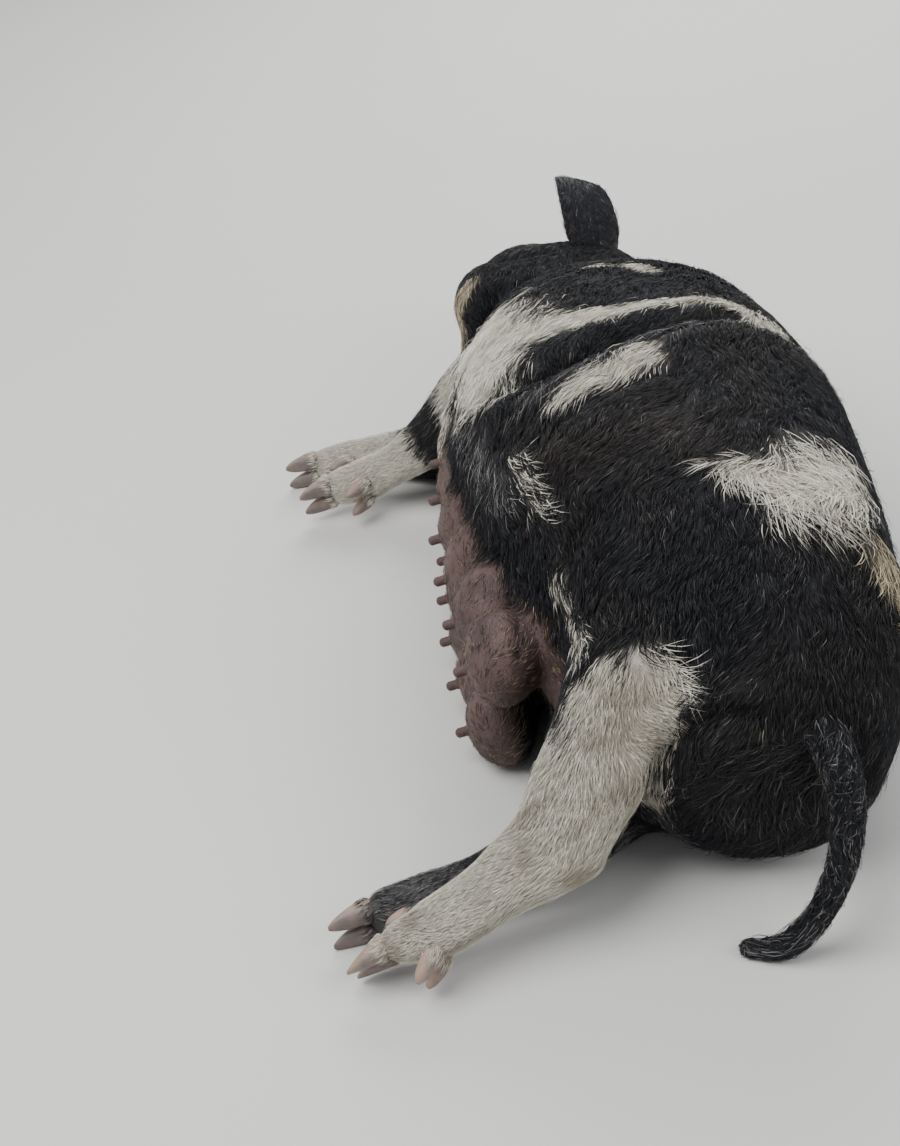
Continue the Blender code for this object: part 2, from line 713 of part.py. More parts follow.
def make_trunk():
    """The trunk with the thighs, shoulders and udder fused to it, and the teats."""
    shape = bmesh.new()
    trunk(shape)
    for leg in LEGS.values():
        leg_masses(shape, leg, last=2)
    udder_masses(shape)
    head_masses(shape)
    body = fused("body", shape, TRUNK_GRAIN, TRUNK_FACES, BODY_FOLDS)
    return flatten_below(body)


def head_folds(shape):
    """The folds of both sides of the head, laid on its masses."""
    tree = BVHTree.FromBMesh(shape)
    for path, depth, width in HEAD_FOLDS:
        for side in (1, -1):
            way = head_way(0, 0, side)
            yield [last_surface(tree, in_head(f, u, 0), way) for f, u in path], depth, width


def last_surface(tree, start, way):
    """Where a line from inside overlapping masses leaves the last of them."""
    outside = start + way * 0.4
    return tree.ray_cast(outside, -way)[0]


def make_head():
    """The head with the end of the neck that it is cut from."""
    shape = bmesh.new()
    trunk(shape, first=7)
    head_masses(shape)
    folds = list(head_folds(shape)) + [BODY_FOLDS[NECK_FOLD]]
    head = fused("head", shape, HEAD_GRAIN, HEAD_FACES, folds)
    place, way = CUTS["head"]
    combine(head, slab("neck_end", place, way, 0, PAST_BODY, PAST_BODY), "INTERSECT")
    snout_end = slab("snout_end", in_head(SNOUT_START, 0, 0), head_way(1, 0, 0), -GAP, PAST_END, PAST_END)
    combine(head, snout_end, "DIFFERENCE")
    return flatten_below(head)


def surface_point(tree, start, way):
    """Where a line from inside the head leaves its skin."""
    return tree.ray_cast(start, way)[0]


def shape_mouth(head):
    """Cuts the line of the mouth along both cheeks and round the chin."""
    tree = tree_of(head)
    sides = []
    for side in (1, -1):
        way = head_way(0, 0, side)
        sides.append([surface_point(tree, in_head(f, u, 0), way) for f, u in MOUTH_LINE])
    forward, up, left = MOUTH_FRONT
    ahead = head_way(1, 0, 0)
    front = [surface_point(tree, in_head(forward, up, side), ahead) for side in (left, 0, -left)]
    path = sides[0] + front + sides[1][::-1]
    shape = bmesh.new()
    sizes = [MOUTH_WIDTH] * len(path)
    tube(shape, path, sizes, sizes, head_way(0, 1, 0.01), count=8)
    return combine(head, new_object("mouth", shape), "DIFFERENCE")


def shape_eye(head, side):
    """Builds a lid over an eyeball, opens it, and returns the eyeball as a node."""
    place = surface_point(tree_of(head), in_head(*EYE_PLACE, 0), head_way(0, 0, side))
    out = head_way(0.30, 0.10, side)
    centre = place - out * EYE_RADIUS * EYE_SINK
    forward = head_way(1, -0.25, 0)
    across = out.cross(forward).normalized()
    forward = across.cross(out)
    frame = Matrix((forward, across, out)).transposed().to_4x4()
    frame = Matrix.Translation(centre) @ frame
    ball = frame @ Matrix.Rotation(EYE_TURN, 4, "Z")
    lid = EYE_RADIUS + LID_THICKNESS
    for name, matrix, sizes, operation in (
        ("lid", frame, [lid * share for share in LID_SHAPE], "UNION"),
        ("opening", frame @ Matrix.Translation((0, 0, lid)), LID_OPENING, "DIFFERENCE"),
        ("socket", ball, (EYE_RADIUS + SOCKET_ROOM,) * 3, "DIFFERENCE"),
    ):
        shape = bmesh.new()
        ellipsoid(shape, matrix, sizes, 12)
        combine(head, new_object(name, shape), operation, "MANIFOLD")
    shape = bmesh.new()
    ellipsoid(shape, ball, (EYE_RADIUS,) * 3, 12)
    return new_object("eye_left" if side > 0 else "eye_right", shape)


def make_snout():
    """The flat snout disc with its two nostrils."""
    across, up = head_way(0, 0, 1), head_way(0, 1, 0)
    shape = bmesh.new()
    rings = []
    for depth, share in SNOUT_PROFILE:
        centre = in_head(SNOUT_START + depth, SNOUT_RISE, 0)
        half_side, half_up = SNOUT_HALF_BREADTH * share, SNOUT_HALF_HEIGHT * share
        rings.append(oval(centre, across, up, half_side, half_up, 2.3, 20))
    skin_over(shape, rings)
    snout = new_object("snout", shape)
    for side in (1, -1):
        shape = bmesh.new()
        rise, spread = NOSTRIL_PLACE
        place = in_head(SNOUT_START + SNOUT_THICKNESS, rise, spread * side)
        ellipsoid(shape, Matrix.Translation(place) @ HEAD.to_3x3().to_4x4(), NOSTRIL_HALF_SIZES, 10)
        combine(snout, new_object("nostril", shape), "DIFFERENCE")
    return snout


def make_ear(name, head):
    """A cupped ear with a soft tip that bends forward, seated on the head."""
    ear = EARS[name]
    root = in_head(*ear["root"])
    along = head_way(*ear["along"])
    outer = head_way(*ear["outer"])
    outer = (outer - along * outer.dot(along)).normalized()
    back = along.cross(outer).normalized()
    if back.dot(head_way(-1, 0, 0) if name == "ear_left" else Vector((0, 0, -1))) < 0:
        back = -back
    rings = []
    for share, half, cup, bend, shift in EAR_STATIONS:
        centre = root + along * EAR_LENGTH * share + outer * shift - back * bend
        outside, inside = [], []
        for i in range(EAR_POINTS):
            s = -1 + 2 * i / (EAR_POINTS - 1)
            place = centre + outer * half * s - back * cup * s * s
            thick = EAR_THICKNESS * (1 - EAR_THINNING * s * s)
            outside.append(place)
            inside.append(place - back * thick + outer * (-0.10 * s * EAR_THICKNESS))
        rings.append(outside + inside[::-1])
    shape = bmesh.new()
    skin_over(shape, rings)
    return combine(new_object(name, shape), swollen(head, GAP), "DIFFERENCE")


def make_tassel(name, head):
    """One of the two hairy drops of skin that hang under the jaw."""
    root = in_head(*TASSELS[name])
    way = (head_way(-0.15, -1.0, 0.0) + Vector((0, 0, -TASSEL_DROOP))).normalized()
    places, sizes = [], []
    for share, size in TASSEL_STATIONS:
        places.append(root + way * TASSEL_LENGTH * share)
        sizes.append(TASSEL_RADIUS * size)
    shape = bmesh.new()
    tube(shape, places, sizes, sizes, Vector((0, 0, 1)), count=8)
    return combine(new_object(name, shape), swollen(head, GAP), "DIFFERENCE")


def make_tail(body):
    """The tail from the rump to the floor."""
    shape = bmesh.new()
    tube(shape, TAIL_PATH, TAIL_RADII, TAIL_RADII, Vector((1, 0, 0.3)), count=10)
    tail = flatten_below(combine(new_object("tail", shape), swollen(body, GAP), "DIFFERENCE"))
    return carve(tail, "tail_tuft", *TAIL_CUT, PAST_END, PAST_END)


def claw_shape(shape, root, down, front, upper, grow=0.0):
    """A claw with a sloping front, a flat sole and a point at its sole."""
    rings = []
    for share, breadth in CLAW_STATIONS:
        top = CLAW_HALF_HEIGHT * (1 - CLAW_FALL * share**CLAW_BEND) + grow
        sole = -CLAW_HALF_HEIGHT * (CLAW_SOLE[0] - CLAW_SOLE[1] * share) - grow
        top = max(top, sole + 2 * grow + CLAW_EDGE)
        length = CLAW_LENGTH * share + (grow if share == 1.0 else -grow if share == 0.0 else 0)
        centre = root + down * length + front * (top + sole) / 2
        half = CLAW_HALF_BREADTH * breadth + grow
        rings.append(oval(centre, upper, front, half, (top - sole) / 2, 2.4, 8))
    skin_over(shape, rings)


def dewclaw_shape(shape, root, way, upper, grow=0.0):
    """A small blunt claw behind the foot."""
    front = way.cross(upper).normalized()
    rings = []
    for share, size in DEWCLAW_STATIONS:
        length = DEWCLAW_LENGTH * share + (grow if share == 1.0 else -grow if share == 0.0 else 0)
        half = DEWCLAW_HALF * size + grow
        rings.append(oval(root + way * length, upper, front, half * 0.85, half, 2.0, 6))
    skin_over(shape, rings)


def horn_pieces(leg):
    """Each claw and dewclaw of a foot: its name and a function that builds it, grown or not."""
    ankle, down, front, upper = foot_frame(leg)
    along, ahead, aside = leg["dewclaws"]
    for side, word in ((1, "outer"), (-1, "inner")):
        splay = (down + upper * side * CLAW_SPLAY).normalized()
        root = ankle + upper * side * TOE_SPREAD
        yield "claw_" + word, claw_shape, (root + down * CLAW_START, splay, front, upper)
        way = (down * along + front * ahead + upper * side * aside).normalized()
        yield "dewclaw_" + word, dewclaw_shape, (root - front * SPUR_REACH, way, upper)


def along_leg(leg, place):
    """The point and the direction of a leg at a place counted in joints."""
    points = [Vector(joint[0]) for joint in leg["joints"]]
    i = min(int(place), len(points) - 2)
    share = place - i
    here = points[i].lerp(points[i + 1], share)
    ways = []
    for k in (i, i + 1):
        ways.append((points[min(k + 1, len(points) - 1)] - points[max(k - 1, 0)]).normalized())
    return here, ways[0].lerp(ways[1], share).normalized()


def make_leg(name, leg, body, skins):
    """The nodes of one leg below the trunk, which is cut back to make room: two lengths, and the foot."""
    shape = bmesh.new()
    leg_masses(shape, leg)
    limb = fused(name, shape, LEG_GRAIN, LEG_FACES)
    skins[name] = tree_of(limb)
    here, way = along_leg(leg, leg["cuts"][0])
    past = slab("limb_slab", here, way, -GAP, PAST_LIMB, PAST_END)
    room = combine(swollen(limb, LIMB_ROOM), past, "INTERSECT")
    combine(body, room, "DIFFERENCE")
    flatten_below(limb)
    for word, build, how in horn_pieces(leg):
        shape = bmesh.new()
        build(shape, *how, grow=GAP)
        combine(limb, new_object("horn_room", shape), "DIFFERENCE")
        shape = bmesh.new()
        build(shape, *how)
        flatten_below(new_object(f"{name}_{word}", shape))
    upper, middle, lower = LEG_PARTS[name.split("_")[0]]
    here, way = along_leg(leg, leg["cuts"][2])
    carve(limb, f"{name}_{lower}", here, way, PAST_END, PAST_END)
    here, way = along_leg(leg, leg["cuts"][1])
    carve(limb, f"{name}_{middle}", here, way, PAST_END, PAST_END)
    here, way = along_leg(leg, leg["cuts"][0])
    combine(limb, slab("root", here, way, 0, PAST_LIMB, PAST_END), "INTERSECT")
    limb.name = f"{name}_{upper}"


def add_teats(udder):
    """A teat on each gland, fused to it."""
    tree = tree_of(udder)
    way = Vector(TEAT_WAY).normalized()
    for place in gland_places():
        skin = tree.ray_cast(place, way)[0]
        tip = skin + way * (TEAT_LENGTH - TEAT_RADIUS * 0.7)
        root = skin - way * 0.010
        shape = bmesh.new()
        sizes = (TEAT_RADIUS * 1.45, TEAT_RADIUS, TEAT_RADIUS * 0.85)
        tube(shape, (root, (root + tip) / 2, tip), sizes, sizes, Vector((0, 0, 1)), count=5)
        combine(udder, new_object("teat", shape), "UNION")
    return flatten_below(udder)


def split_trunk(body):
    """Cuts the trunk into its named nodes."""
    low, high = UDDER_BOX
    udder = combine(copy_of(body, "udder"), box("udder_box", low, high), "INTERSECT")
    room_low = [value - GAP for value in low]
    room_high = [value + GAP for value in high]
    combine(body, box("udder_room", room_low, room_high), "DIFFERENCE")
    add_teats(udder)
    place, way = CUTS["head"]
    combine(body, slab("head_room", place, way, -GAP, PAST_BODY, PAST_BODY), "DIFFERENCE")
    for name in ("neck", "chest", "barrel"):
        place, way = CUTS[name]
        carve(body, name, place, way, PAST_BODY, PAST_BODY)
    body.name = "rump"


def tree_of(obj):
    """An object's surface, to be measured."""
    return BVHTree.FromObject(obj, bpy.context.evaluated_depsgraph_get())


def lock_rings(skin, root, lie, length, width, curl, grow=0.0):
    """A flat, tapered lock: rings of three points that rise from the skin and bend along it to a point."""
    place, normal, _, _ = skin.find_nearest(root)
    way = Vector(lie)
    rings, before = [], 0.0
    for share, breadth, height in LOCK_STATIONS:
        way = way - normal * way.dot(normal)
        way.normalize()
        way.rotate(Matrix.Rotation(curl * (share - before), 3, normal))
        place, near, _, _ = skin.find_nearest(place + way * length * (share - before))
        normal = (normal + near).normalized()
        before = share
        side = way.cross(normal).normalized() * (width * breadth / 2 + grow)
        under = place + normal * (height - grow)
        ridge = normal * (LOCK_THICKNESS * (0.35 + 0.65 * breadth) + 2 * grow)
        rings.append((under - side, under + side, under + ridge))
    return rings


def lock_roots(path, rows, columns, step, lie):
    """Evenly spaced roots: a row along the path, and the next rows staggered behind it."""
    points = [Vector(point) for point in path]
    lie = Vector(lie).normalized()
    for row in range(rows):
        for column in range(columns):
            place = (column + 0.25 + 0.5 * (row % 2)) / columns * (len(points) - 1)
            i = min(int(place), len(points) - 2)
            yield points[i].lerp(points[i + 1], place - i) + lie * step * row


def crosses(rings, trees):
    """Whether a lock, grown by the gap, touches any of the surfaces or comes too near the floor."""
    shape = bmesh.new()
    skin_over(shape, rings)
    lock = BVHTree.FromBMesh(shape)
    shape.free()
    low = min(point.z for ring in rings for point in ring)
    return low < LOCK_FLOOR or any(lock.overlap(tree) for tree in trees)


def add_locks(skins):
    """Lays the locks along the coat's lie, each on the node that its root is nearest to and clear of all others."""
    rng = np.random.default_rng(LOCK_SEED)
    nodes = {obj.name: tree_of(obj) for obj in bpy.context.scene.collection.objects}
    laid = {name: [] for name in nodes}
    bare = ("udder", "snout", "eye", "ear", "tassel", "foot", "claw")
    carriers = [name for name in nodes if not any(word in name for word in bare)]
    for grown_on, path, rows, columns, step, length, width, lie in LOCK_ZONES.values():
        skin = skins[grown_on]
        for root in lock_roots(path, rows, columns, step, lie):
            stretch, breadth = rng.uniform(0.85, 1.15, 2)
            turn, curl = rng.uniform(-LOCK_SPREAD, LOCK_SPREAD), rng.uniform(-LOCK_CURL, LOCK_CURL)
            place, normal, _, _ = skin.find_nearest(root)
            way = Matrix.Rotation(turn, 3, normal) @ Vector(lie)
            how = (skin, place, way, length * stretch, width * breadth, curl)
            owner = min(carriers, key=lambda name: nodes[name].find_nearest(place)[3])
            others = [tree for name, tree in nodes.items() if name != owner]
            for name, locks in laid.items():
                others += [tree for tree, _ in locks] if name != owner else []
            grown = lock_rings(*how, grow=GAP)
            if crosses(grown, others):
                continue
            shape = bmesh.new()
            skin_over(shape, grown)
            laid[owner].append((BVHTree.FromBMesh(shape), lock_rings(*how)))
            shape.free()
    for name, locks in laid.items():
        if locks:
            fuse_locks(bpy.data.objects[name], [rings for _, rings in locks])


def fuse_locks(node, locks):
    """Joins locks to their node in one union."""
    group = bpy.data.collections.new("locks")
    bpy.context.scene.collection.children.link(group)
    for rings in locks:
        shape = bmesh.new()
        skin_over(shape, rings)
        lock = new_object("lock", shape)
        bpy.context.scene.collection.objects.unlink(lock)
        group.objects.link(lock)
    modifier = node.modifiers.new("locks", "BOOLEAN")
    modifier.operation = "UNION"
    modifier.solver = "MANIFOLD"
    modifier.operand_type = "COLLECTION"
    modifier.collection = group
    settle(node)
    for lock in list(group.objects):
        bpy.data.objects.remove(lock)
    bpy.data.collections.remove(group)
    return keep_largest(node)


def finish(name):
    """The material of the node with this name, shared by the nodes that have the same finish."""
    word = next((word for word in FINISHES if word in name), "coat")
    found = bpy.data.materials.get(word)
    if found:
        return found
    material = bpy.data.materials.new(word)
    material.use_nodes = True
    shader = material.node_tree.nodes["Principled BSDF"]
    colour, roughness, metallic = FINISHES.get(word, BLACK_COAT)
    shader.inputs["Base Color"].default_value = (*colour, 1.0)
    shader.inputs["Roughness"].default_value = roughness
    shader.inputs["Metallic"].default_value = metallic
    return material


def hang_nodes():
    """Gives each node its finish, sets its origin in its own middle, and hangs it on one empty."""
    sow = bpy.data.objects.new("sow", None)
    nodes = list(bpy.context.scene.collection.objects)
    bpy.context.scene.collection.objects.link(sow)
    for node in nodes:
        corners = [Vector(corner) for corner in node.bound_box]
        middle = (corners[0] + corners[6]) / 2
        node.data.transform(Matrix.Translation(-middle))
        node.location = middle
        node.parent = sow
        node.data.materials.clear()
        node.data.materials.append(finish(node.name))
        node.data.shade_smooth()


def main():
    clear_scene()
    body = make_trunk()
    head = make_head()
    skins = {"body": tree_of(body), "head": tree_of(head)}
    tuft = make_tail(body)
    skins["tail_tuft"] = tree_of(tuft)
    for name, leg in LEGS.items():
        make_leg(name, leg, body, skins)
    split_trunk(body)
    for name in EARS:
        make_ear(name, head)
    for name in TASSELS:
        make_tassel(name, head)
    shape_mouth(head)
    for side in (1, -1):
        shape_eye(head, side)
    make_snout()
    add_locks(skins)
    hang_nodes()


main()
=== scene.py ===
"""A kunekune sow at life size, asleep on her right side: skin, coat, snout, eyes, ears, claws and a studio.

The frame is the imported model's, in metres: +X runs from her belly to her back, +Y from her tail to her head,
and +Z up from the floor.
"""

import math
from collections import namedtuple

import bmesh
import bpy
import numpy as np
from mathutils import Matrix, Vector
from mathutils.bvhtree import BVHTree
from mathutils.kdtree import KDTree


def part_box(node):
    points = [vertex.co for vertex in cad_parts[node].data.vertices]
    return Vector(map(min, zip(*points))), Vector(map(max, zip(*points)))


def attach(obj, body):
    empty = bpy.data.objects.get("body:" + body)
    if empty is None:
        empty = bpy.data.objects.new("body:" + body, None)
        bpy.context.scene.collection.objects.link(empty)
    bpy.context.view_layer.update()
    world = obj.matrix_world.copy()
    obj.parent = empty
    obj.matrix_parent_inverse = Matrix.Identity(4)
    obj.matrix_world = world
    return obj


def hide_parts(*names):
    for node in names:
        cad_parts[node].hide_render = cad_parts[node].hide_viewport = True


bl_info = {
    "name": "Kunekune Sow",
    "version": (1, 0, 0),
    "blender": (4, 5, 0),
    "location": "3D View > Sidebar > Sow",
    "description": "Dresses the sleeping sow with skin, coat, horn and a studio",
    "category": "Object",
}

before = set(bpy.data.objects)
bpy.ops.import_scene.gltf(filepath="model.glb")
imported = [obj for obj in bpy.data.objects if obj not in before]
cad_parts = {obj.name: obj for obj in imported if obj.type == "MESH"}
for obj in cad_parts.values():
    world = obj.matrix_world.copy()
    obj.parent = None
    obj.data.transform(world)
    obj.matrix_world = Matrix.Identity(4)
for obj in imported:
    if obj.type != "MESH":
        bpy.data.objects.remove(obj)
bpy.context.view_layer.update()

# The trunk's main sizes and sections, as in the solids. A section is its share of the length, of the belly's
# reach, the back's reach and the flank's height, and the underside's height before the floor flattens it.
TRUNK_LENGTH = 1.12
TRUNK_START = -0.575
BELLY_REACH = 0.265
BACK_REACH = 0.250
FLANK_HEIGHT = 0.415
TRUNK_SECTIONS = (
    (0.000, 0.05, 0.46, 0.56, 0.100),
    (0.022, 0.26, 0.66, 0.69, 0.030),
    (0.094, 0.49, 0.83, 0.82, -0.010),
    (0.192, 0.66, 0.94, 0.91, -0.020),
    (0.335, 0.89, 0.98, 0.97, -0.025),
    (0.496, 1.00, 1.00, 1.00, -0.025),
    (0.638, 0.97, 0.92, 0.95, -0.025),
    (0.746, 0.87, 0.86, 0.87, -0.020),
    (0.835, 0.77, 0.79, 0.77, -0.015),
    (0.906, 0.73, 0.70, 0.68, -0.010),
    (0.960, 0.70, 0.59, 0.61, -0.005),
    (1.005, 0.66, 0.47, 0.54, 0.000),
    (1.030, 0.50, 0.34, 0.43, 0.030),
)
TRUNK_SQUARENESS = 2.25

# The head's own frame: forward to the snout, up to the crown, left to the upper side as she lies.
HEAD_PLACE = Vector((-0.045, 0.600, 0.120))
HEAD_FORWARD = Vector((-0.14, 0.94, -0.24)).normalized()
HEAD_LEFT = Vector((-0.03, 0.20, 1.0))
HEAD_SECTIONS = (
    (-0.150, 0.060, -0.120, 0.070),
    (-0.120, 0.115, -0.165, 0.103),
    (-0.075, 0.136, -0.180, 0.118),
    (-0.030, 0.138, -0.172, 0.122),
    (0.010, 0.126, -0.152, 0.112),
    (0.038, 0.108, -0.130, 0.100),
    (0.060, 0.080, -0.112, 0.084),
    (0.080, 0.059, -0.092, 0.072),
    (0.100, 0.049, -0.070, 0.062),
    (0.120, 0.047, -0.052, 0.055),
    (0.140, 0.046, -0.044, 0.051),
    (0.170, 0.045, -0.042, 0.050),
)
HEAD_SQUARENESS = 2.15
HEAD_MASSES = (
    ("cheek", (-0.010, -0.060, 0.062), (0.085, 0.075, 0.058)),
    ("jowl", (-0.045, -0.120, 0.040), (0.085, 0.068, 0.070)),
    ("brow", (0.042, 0.066, 0.062), (0.034, 0.024, 0.026)),
    ("jaw", (0.062, -0.078, 0.000), (0.068, 0.036, 0.054)),
    ("chin", (0.102, -0.060, 0.000), (0.036, 0.022, 0.034)),
)

# Each leg's joints with the half sizes of its section there, its heel, the way its toes point, how far its
# front rolls up, in degrees, the way its dewclaws point, and the joint from which it is free of the trunk.
LEGS = {
    "hind_left": {
        "joints": (
            ((0.060, -0.360, 0.250), 0.145, 0.105),
            ((-0.060, -0.400, 0.255), 0.100, 0.088),
            ((-0.112, -0.497, 0.200), 0.065, 0.058),
            ((-0.192, -0.581, 0.107), 0.054, 0.046),
            ((-0.259, -0.607, 0.083), 0.039, 0.036),
            ((-0.318, -0.635, 0.064), 0.034, 0.031),
        ),
        "heel": (-0.155, -0.603, 0.104),
        "toes": (-0.93, -0.02, -0.36),
        "roll": 30.0,
        "dewclaws": (0.72, -0.65, 0.06),
        "free": 1.65,
    },
    "hind_right": {
        "joints": (
            ((0.040, -0.350, 0.100), 0.150, 0.090),
            ((-0.110, -0.400, 0.068), 0.100, 0.075),
            ((-0.150, -0.460, 0.048), 0.070, 0.055),
            ((-0.185, -0.505, 0.037), 0.046, 0.042),
            ((-0.250, -0.532, 0.030), 0.035, 0.034),
            ((-0.335, -0.563, 0.030), 0.031, 0.031),
        ),
        "heel": (-0.160, -0.528, 0.037),
        "toes": (-0.97, -0.15, -0.10),
        "roll": 0.0,
        "dewclaws": (0.93, -0.30, 0.10),
        "free": 1.6,
    },
    "fore_left": {
        "joints": (
            ((-0.030, 0.290, 0.240), 0.130, 0.095),
            ((-0.165, 0.262, 0.220), 0.075, 0.062),
            ((-0.235, 0.262, 0.160), 0.052, 0.047),
            ((-0.285, 0.275, 0.102), 0.042, 0.038),
            ((-0.334, 0.274, 0.072), 0.035, 0.032),
            ((-0.374, 0.267, 0.058), 0.032, 0.031),
        ),
        "heel": None,
        "toes": (-0.96, -0.10, -0.20),
        "roll": 10.0,
        "dewclaws": (0.80, -0.55, 0.10),
        "free": 1.45,
    },
    "fore_right": {
        "joints": (
            ((-0.040, 0.315, 0.090), 0.120, 0.085),
            ((-0.180, 0.332, 0.054), 0.070, 0.060),
            ((-0.255, 0.352, 0.041), 0.050, 0.046),
            ((-0.314, 0.367, 0.035), 0.041, 0.039),
            ((-0.362, 0.370, 0.031), 0.035, 0.033),
            ((-0.396, 0.367, 0.030), 0.032, 0.031),
        ),
        "heel": None,
        "toes": (-0.98, -0.06, -0.08),
        "roll": 0.0,
        "dewclaws": (0.80, -0.55, 0.10),
        "free": 1.5,
    },
}
LEG_PARTS = {"hind": ("gaskin", "cannon", "foot"), "fore": ("forearm", "cannon", "foot")}
HEEL_SIZES = ((0.040, 0.034, 0.024), (0.036, 0.032, 0.022))
TOE_SIZES = ((0.025, 0.023, 0.0195), (0.018, 0.018, 0.0155))
SPUR_SIZES = ((0.018, 0.015, 0.012), (0.016, 0.014, 0.011))
TOE_LENGTH = 0.050
TOE_SPREAD = 0.0135
SPUR_REACH = 0.020

# Claws and dewclaws, with their stations as shares of their length and breadth, and a straight sole.
CLAW_START = 0.050
CLAW_LENGTH = 0.052
CLAW_HALF_HEIGHT = 0.0165
CLAW_HALF_BREADTH = 0.0125
CLAW_SPLAY = 0.02
CLAW_STATIONS = ((0.0, 1.0), (0.30, 1.0), (0.58, 0.92), (0.80, 0.70), (0.94, 0.40), (1.0, 0.16))
CLAW_FALL = 1.62
CLAW_BEND = 1.20
CLAW_SOLE = (0.90, 0.06)
CLAW_EDGE = 0.0022
HORN_TUCK = 0.34
DEWCLAW_LENGTH = 0.044
DEWCLAW_HALF = 0.0110
DEWCLAW_STATIONS = ((0.0, 1.0), (0.40, 1.0), (0.80, 0.66), (1.0, 0.20))

GLANDS_A_ROW = 6
GLAND_STEP = 0.090
GLAND_FIRST = -0.345
GLAND_ROWS = ((0.182, 0.000), (0.056, 0.044))
GLAND_REACH = 0.190
GLAND_SWELL = 0.045
SWELL_MIDDLE = -0.080
SWELL_TURN = 3.2
GLAND_HALF_SIZES = (0.046, 0.056, 0.058)
TEAT_LENGTH = 0.015
TEAT_RADIUS = 0.0066
TEAT_WAY = (-1.0, 0.0, -0.25)

TAIL_PATH = (
    (0.085, -0.535, 0.225),
    (0.100, -0.590, 0.205),
    (0.106, -0.622, 0.165),
    (0.096, -0.645, 0.110),
    (0.072, -0.658, 0.055),
    (0.040, -0.660, 0.018),
    (0.004, -0.650, 0.009),
)
TAIL_RADII = (0.022, 0.020, 0.017, 0.014, 0.012, 0.011, 0.008)

SNOUT_START = 0.142
SNOUT_RISE = 0.003
SNOUT_HALF_HEIGHT = 0.044
SNOUT_HALF_BREADTH = 0.049
NOSTRIL_PLACE = (0.002, 0.0175)
NOSTRIL_HALF_SIZES = (0.0090, 0.0065)
EYE_RADIUS = 0.0125
EARS = {
    "ear_left": {
        "root": (-0.050, 0.050, 0.092),
        "along": (0.10, -0.10, 1.00),
        "outer": (0.05, -1.00, 0.00),
    },
    "ear_right": {
        "root": (-0.045, 0.100, -0.078),
        "along": (0.30, 0.95, -0.16),
        "outer": (0.95, -0.30, 0.00),
    },
}
EAR_LENGTH = 0.135
EAR_STATIONS = (
    (-0.10, 0.028, 0.024, 0.000, 0.000),
    (0.06, 0.034, 0.028, 0.000, 0.000),
    (0.22, 0.039, 0.026, -0.002, 0.001),
    (0.42, 0.040, 0.022, -0.002, 0.002),
    (0.60, 0.038, 0.018, 0.002, 0.004),
    (0.74, 0.033, 0.013, 0.010, 0.008),
    (0.85, 0.021, 0.008, 0.022, 0.019),
    (0.95, 0.006, 0.003, 0.034, 0.033),
)
EAR_THICKNESS = 0.0052
TASSELS = {"tassel_left": (0.055, -0.108, 0.030), "tassel_right": (0.060, -0.106, -0.014)}
TASSEL_LENGTH = 0.048
TASSEL_RADIUS = 0.0095

# Folds of skin on the trunk: places along each near the skin, its depth and its half width.
BODY_FOLDS = (
    (
        ((-0.235, 0.060, 0.240), (-0.185, -0.040, 0.350), (-0.115, -0.062, 0.395), (-0.010, -0.020, 0.410),
         (0.090, 0.024, 0.400), (0.177, 0.030, 0.355), (0.235, 0.020, 0.260)),
        0.013, 0.018,
    ),
    (
        ((-0.220, 0.230, 0.240), (-0.160, 0.180, 0.350), (-0.066, 0.200, 0.375), (0.046, 0.215, 0.370),
         (0.150, 0.240, 0.320), (0.215, 0.240, 0.220)),
        0.009, 0.018,
    ),
    (
        ((-0.205, 0.450, 0.100), (-0.190, 0.462, 0.200), (-0.100, 0.468, 0.260), (0.020, 0.470, 0.265),
         (0.120, 0.470, 0.220), (0.170, 0.465, 0.120)),
        0.009, 0.018,
    ),
    (
        ((-0.200, -0.360, 0.220), (-0.190, -0.400, 0.290), (-0.140, -0.330, 0.330), (-0.060, -0.300, 0.375)),
        0.006, 0.016,
    ),
    (
        ((-0.098, -0.530, 0.143), (-0.070, -0.541, 0.185), (-0.040, -0.545, 0.232), (0.000, -0.560, 0.250),
         (0.060, -0.560, 0.240)),
        0.014, 0.016,
    ),
    (
        ((-0.178, -0.200, 0.338), (-0.128, -0.160, 0.378), (-0.020, -0.124, 0.406), (0.060, -0.100, 0.404)),
        0.004, 0.014,
    ),
    (
        ((-0.170, 0.330, 0.260), (-0.060, 0.345, 0.330), (0.060, 0.350, 0.325), (0.170, 0.335, 0.240)),
        0.005, 0.016,
    ),
)
# Folds of the face, in the head's frame as forward and up places, laid on both of its sides.
HEAD_FOLDS = (
    (((-0.070, -0.010), (-0.062, -0.060), (-0.040, -0.105), (-0.010, -0.135)), 0.006, 0.012),
    (((0.030, -0.030), (0.022, -0.060), (0.026, -0.092), (0.040, -0.115)), 0.005, 0.010),
    (((0.078, 0.058), (0.060, 0.020), (0.050, 0.012), (0.030, 0.014)), 0.0035, 0.008),
    (((0.018, 0.072), (0.030, 0.058), (0.052, 0.058), (0.070, 0.066)), 0.0035, 0.007),
    (((0.030, -0.050), (0.054, -0.058), (0.078, -0.056), (0.100, -0.051), (0.130, -0.046)), 0.0045, 0.0050),
    (((0.088, 0.046), (0.092, 0.020), (0.088, -0.006)), 0.0030, 0.0060),
    (((0.104, 0.044), (0.108, 0.016), (0.104, -0.014)), 0.0030, 0.0055),
    (((0.120, 0.042), (0.124, 0.014), (0.120, -0.020)), 0.0025, 0.0050),
    (((0.000, 0.100), (0.012, 0.070), (0.010, 0.040)), 0.0030, 0.0080),
)
# Wrinkles that cross the nose, as forward places.
NOSE_WRINKLES = (0.066, 0.082, 0.097, 0.112, 0.127)
FOLD_RIDGE = 0.35

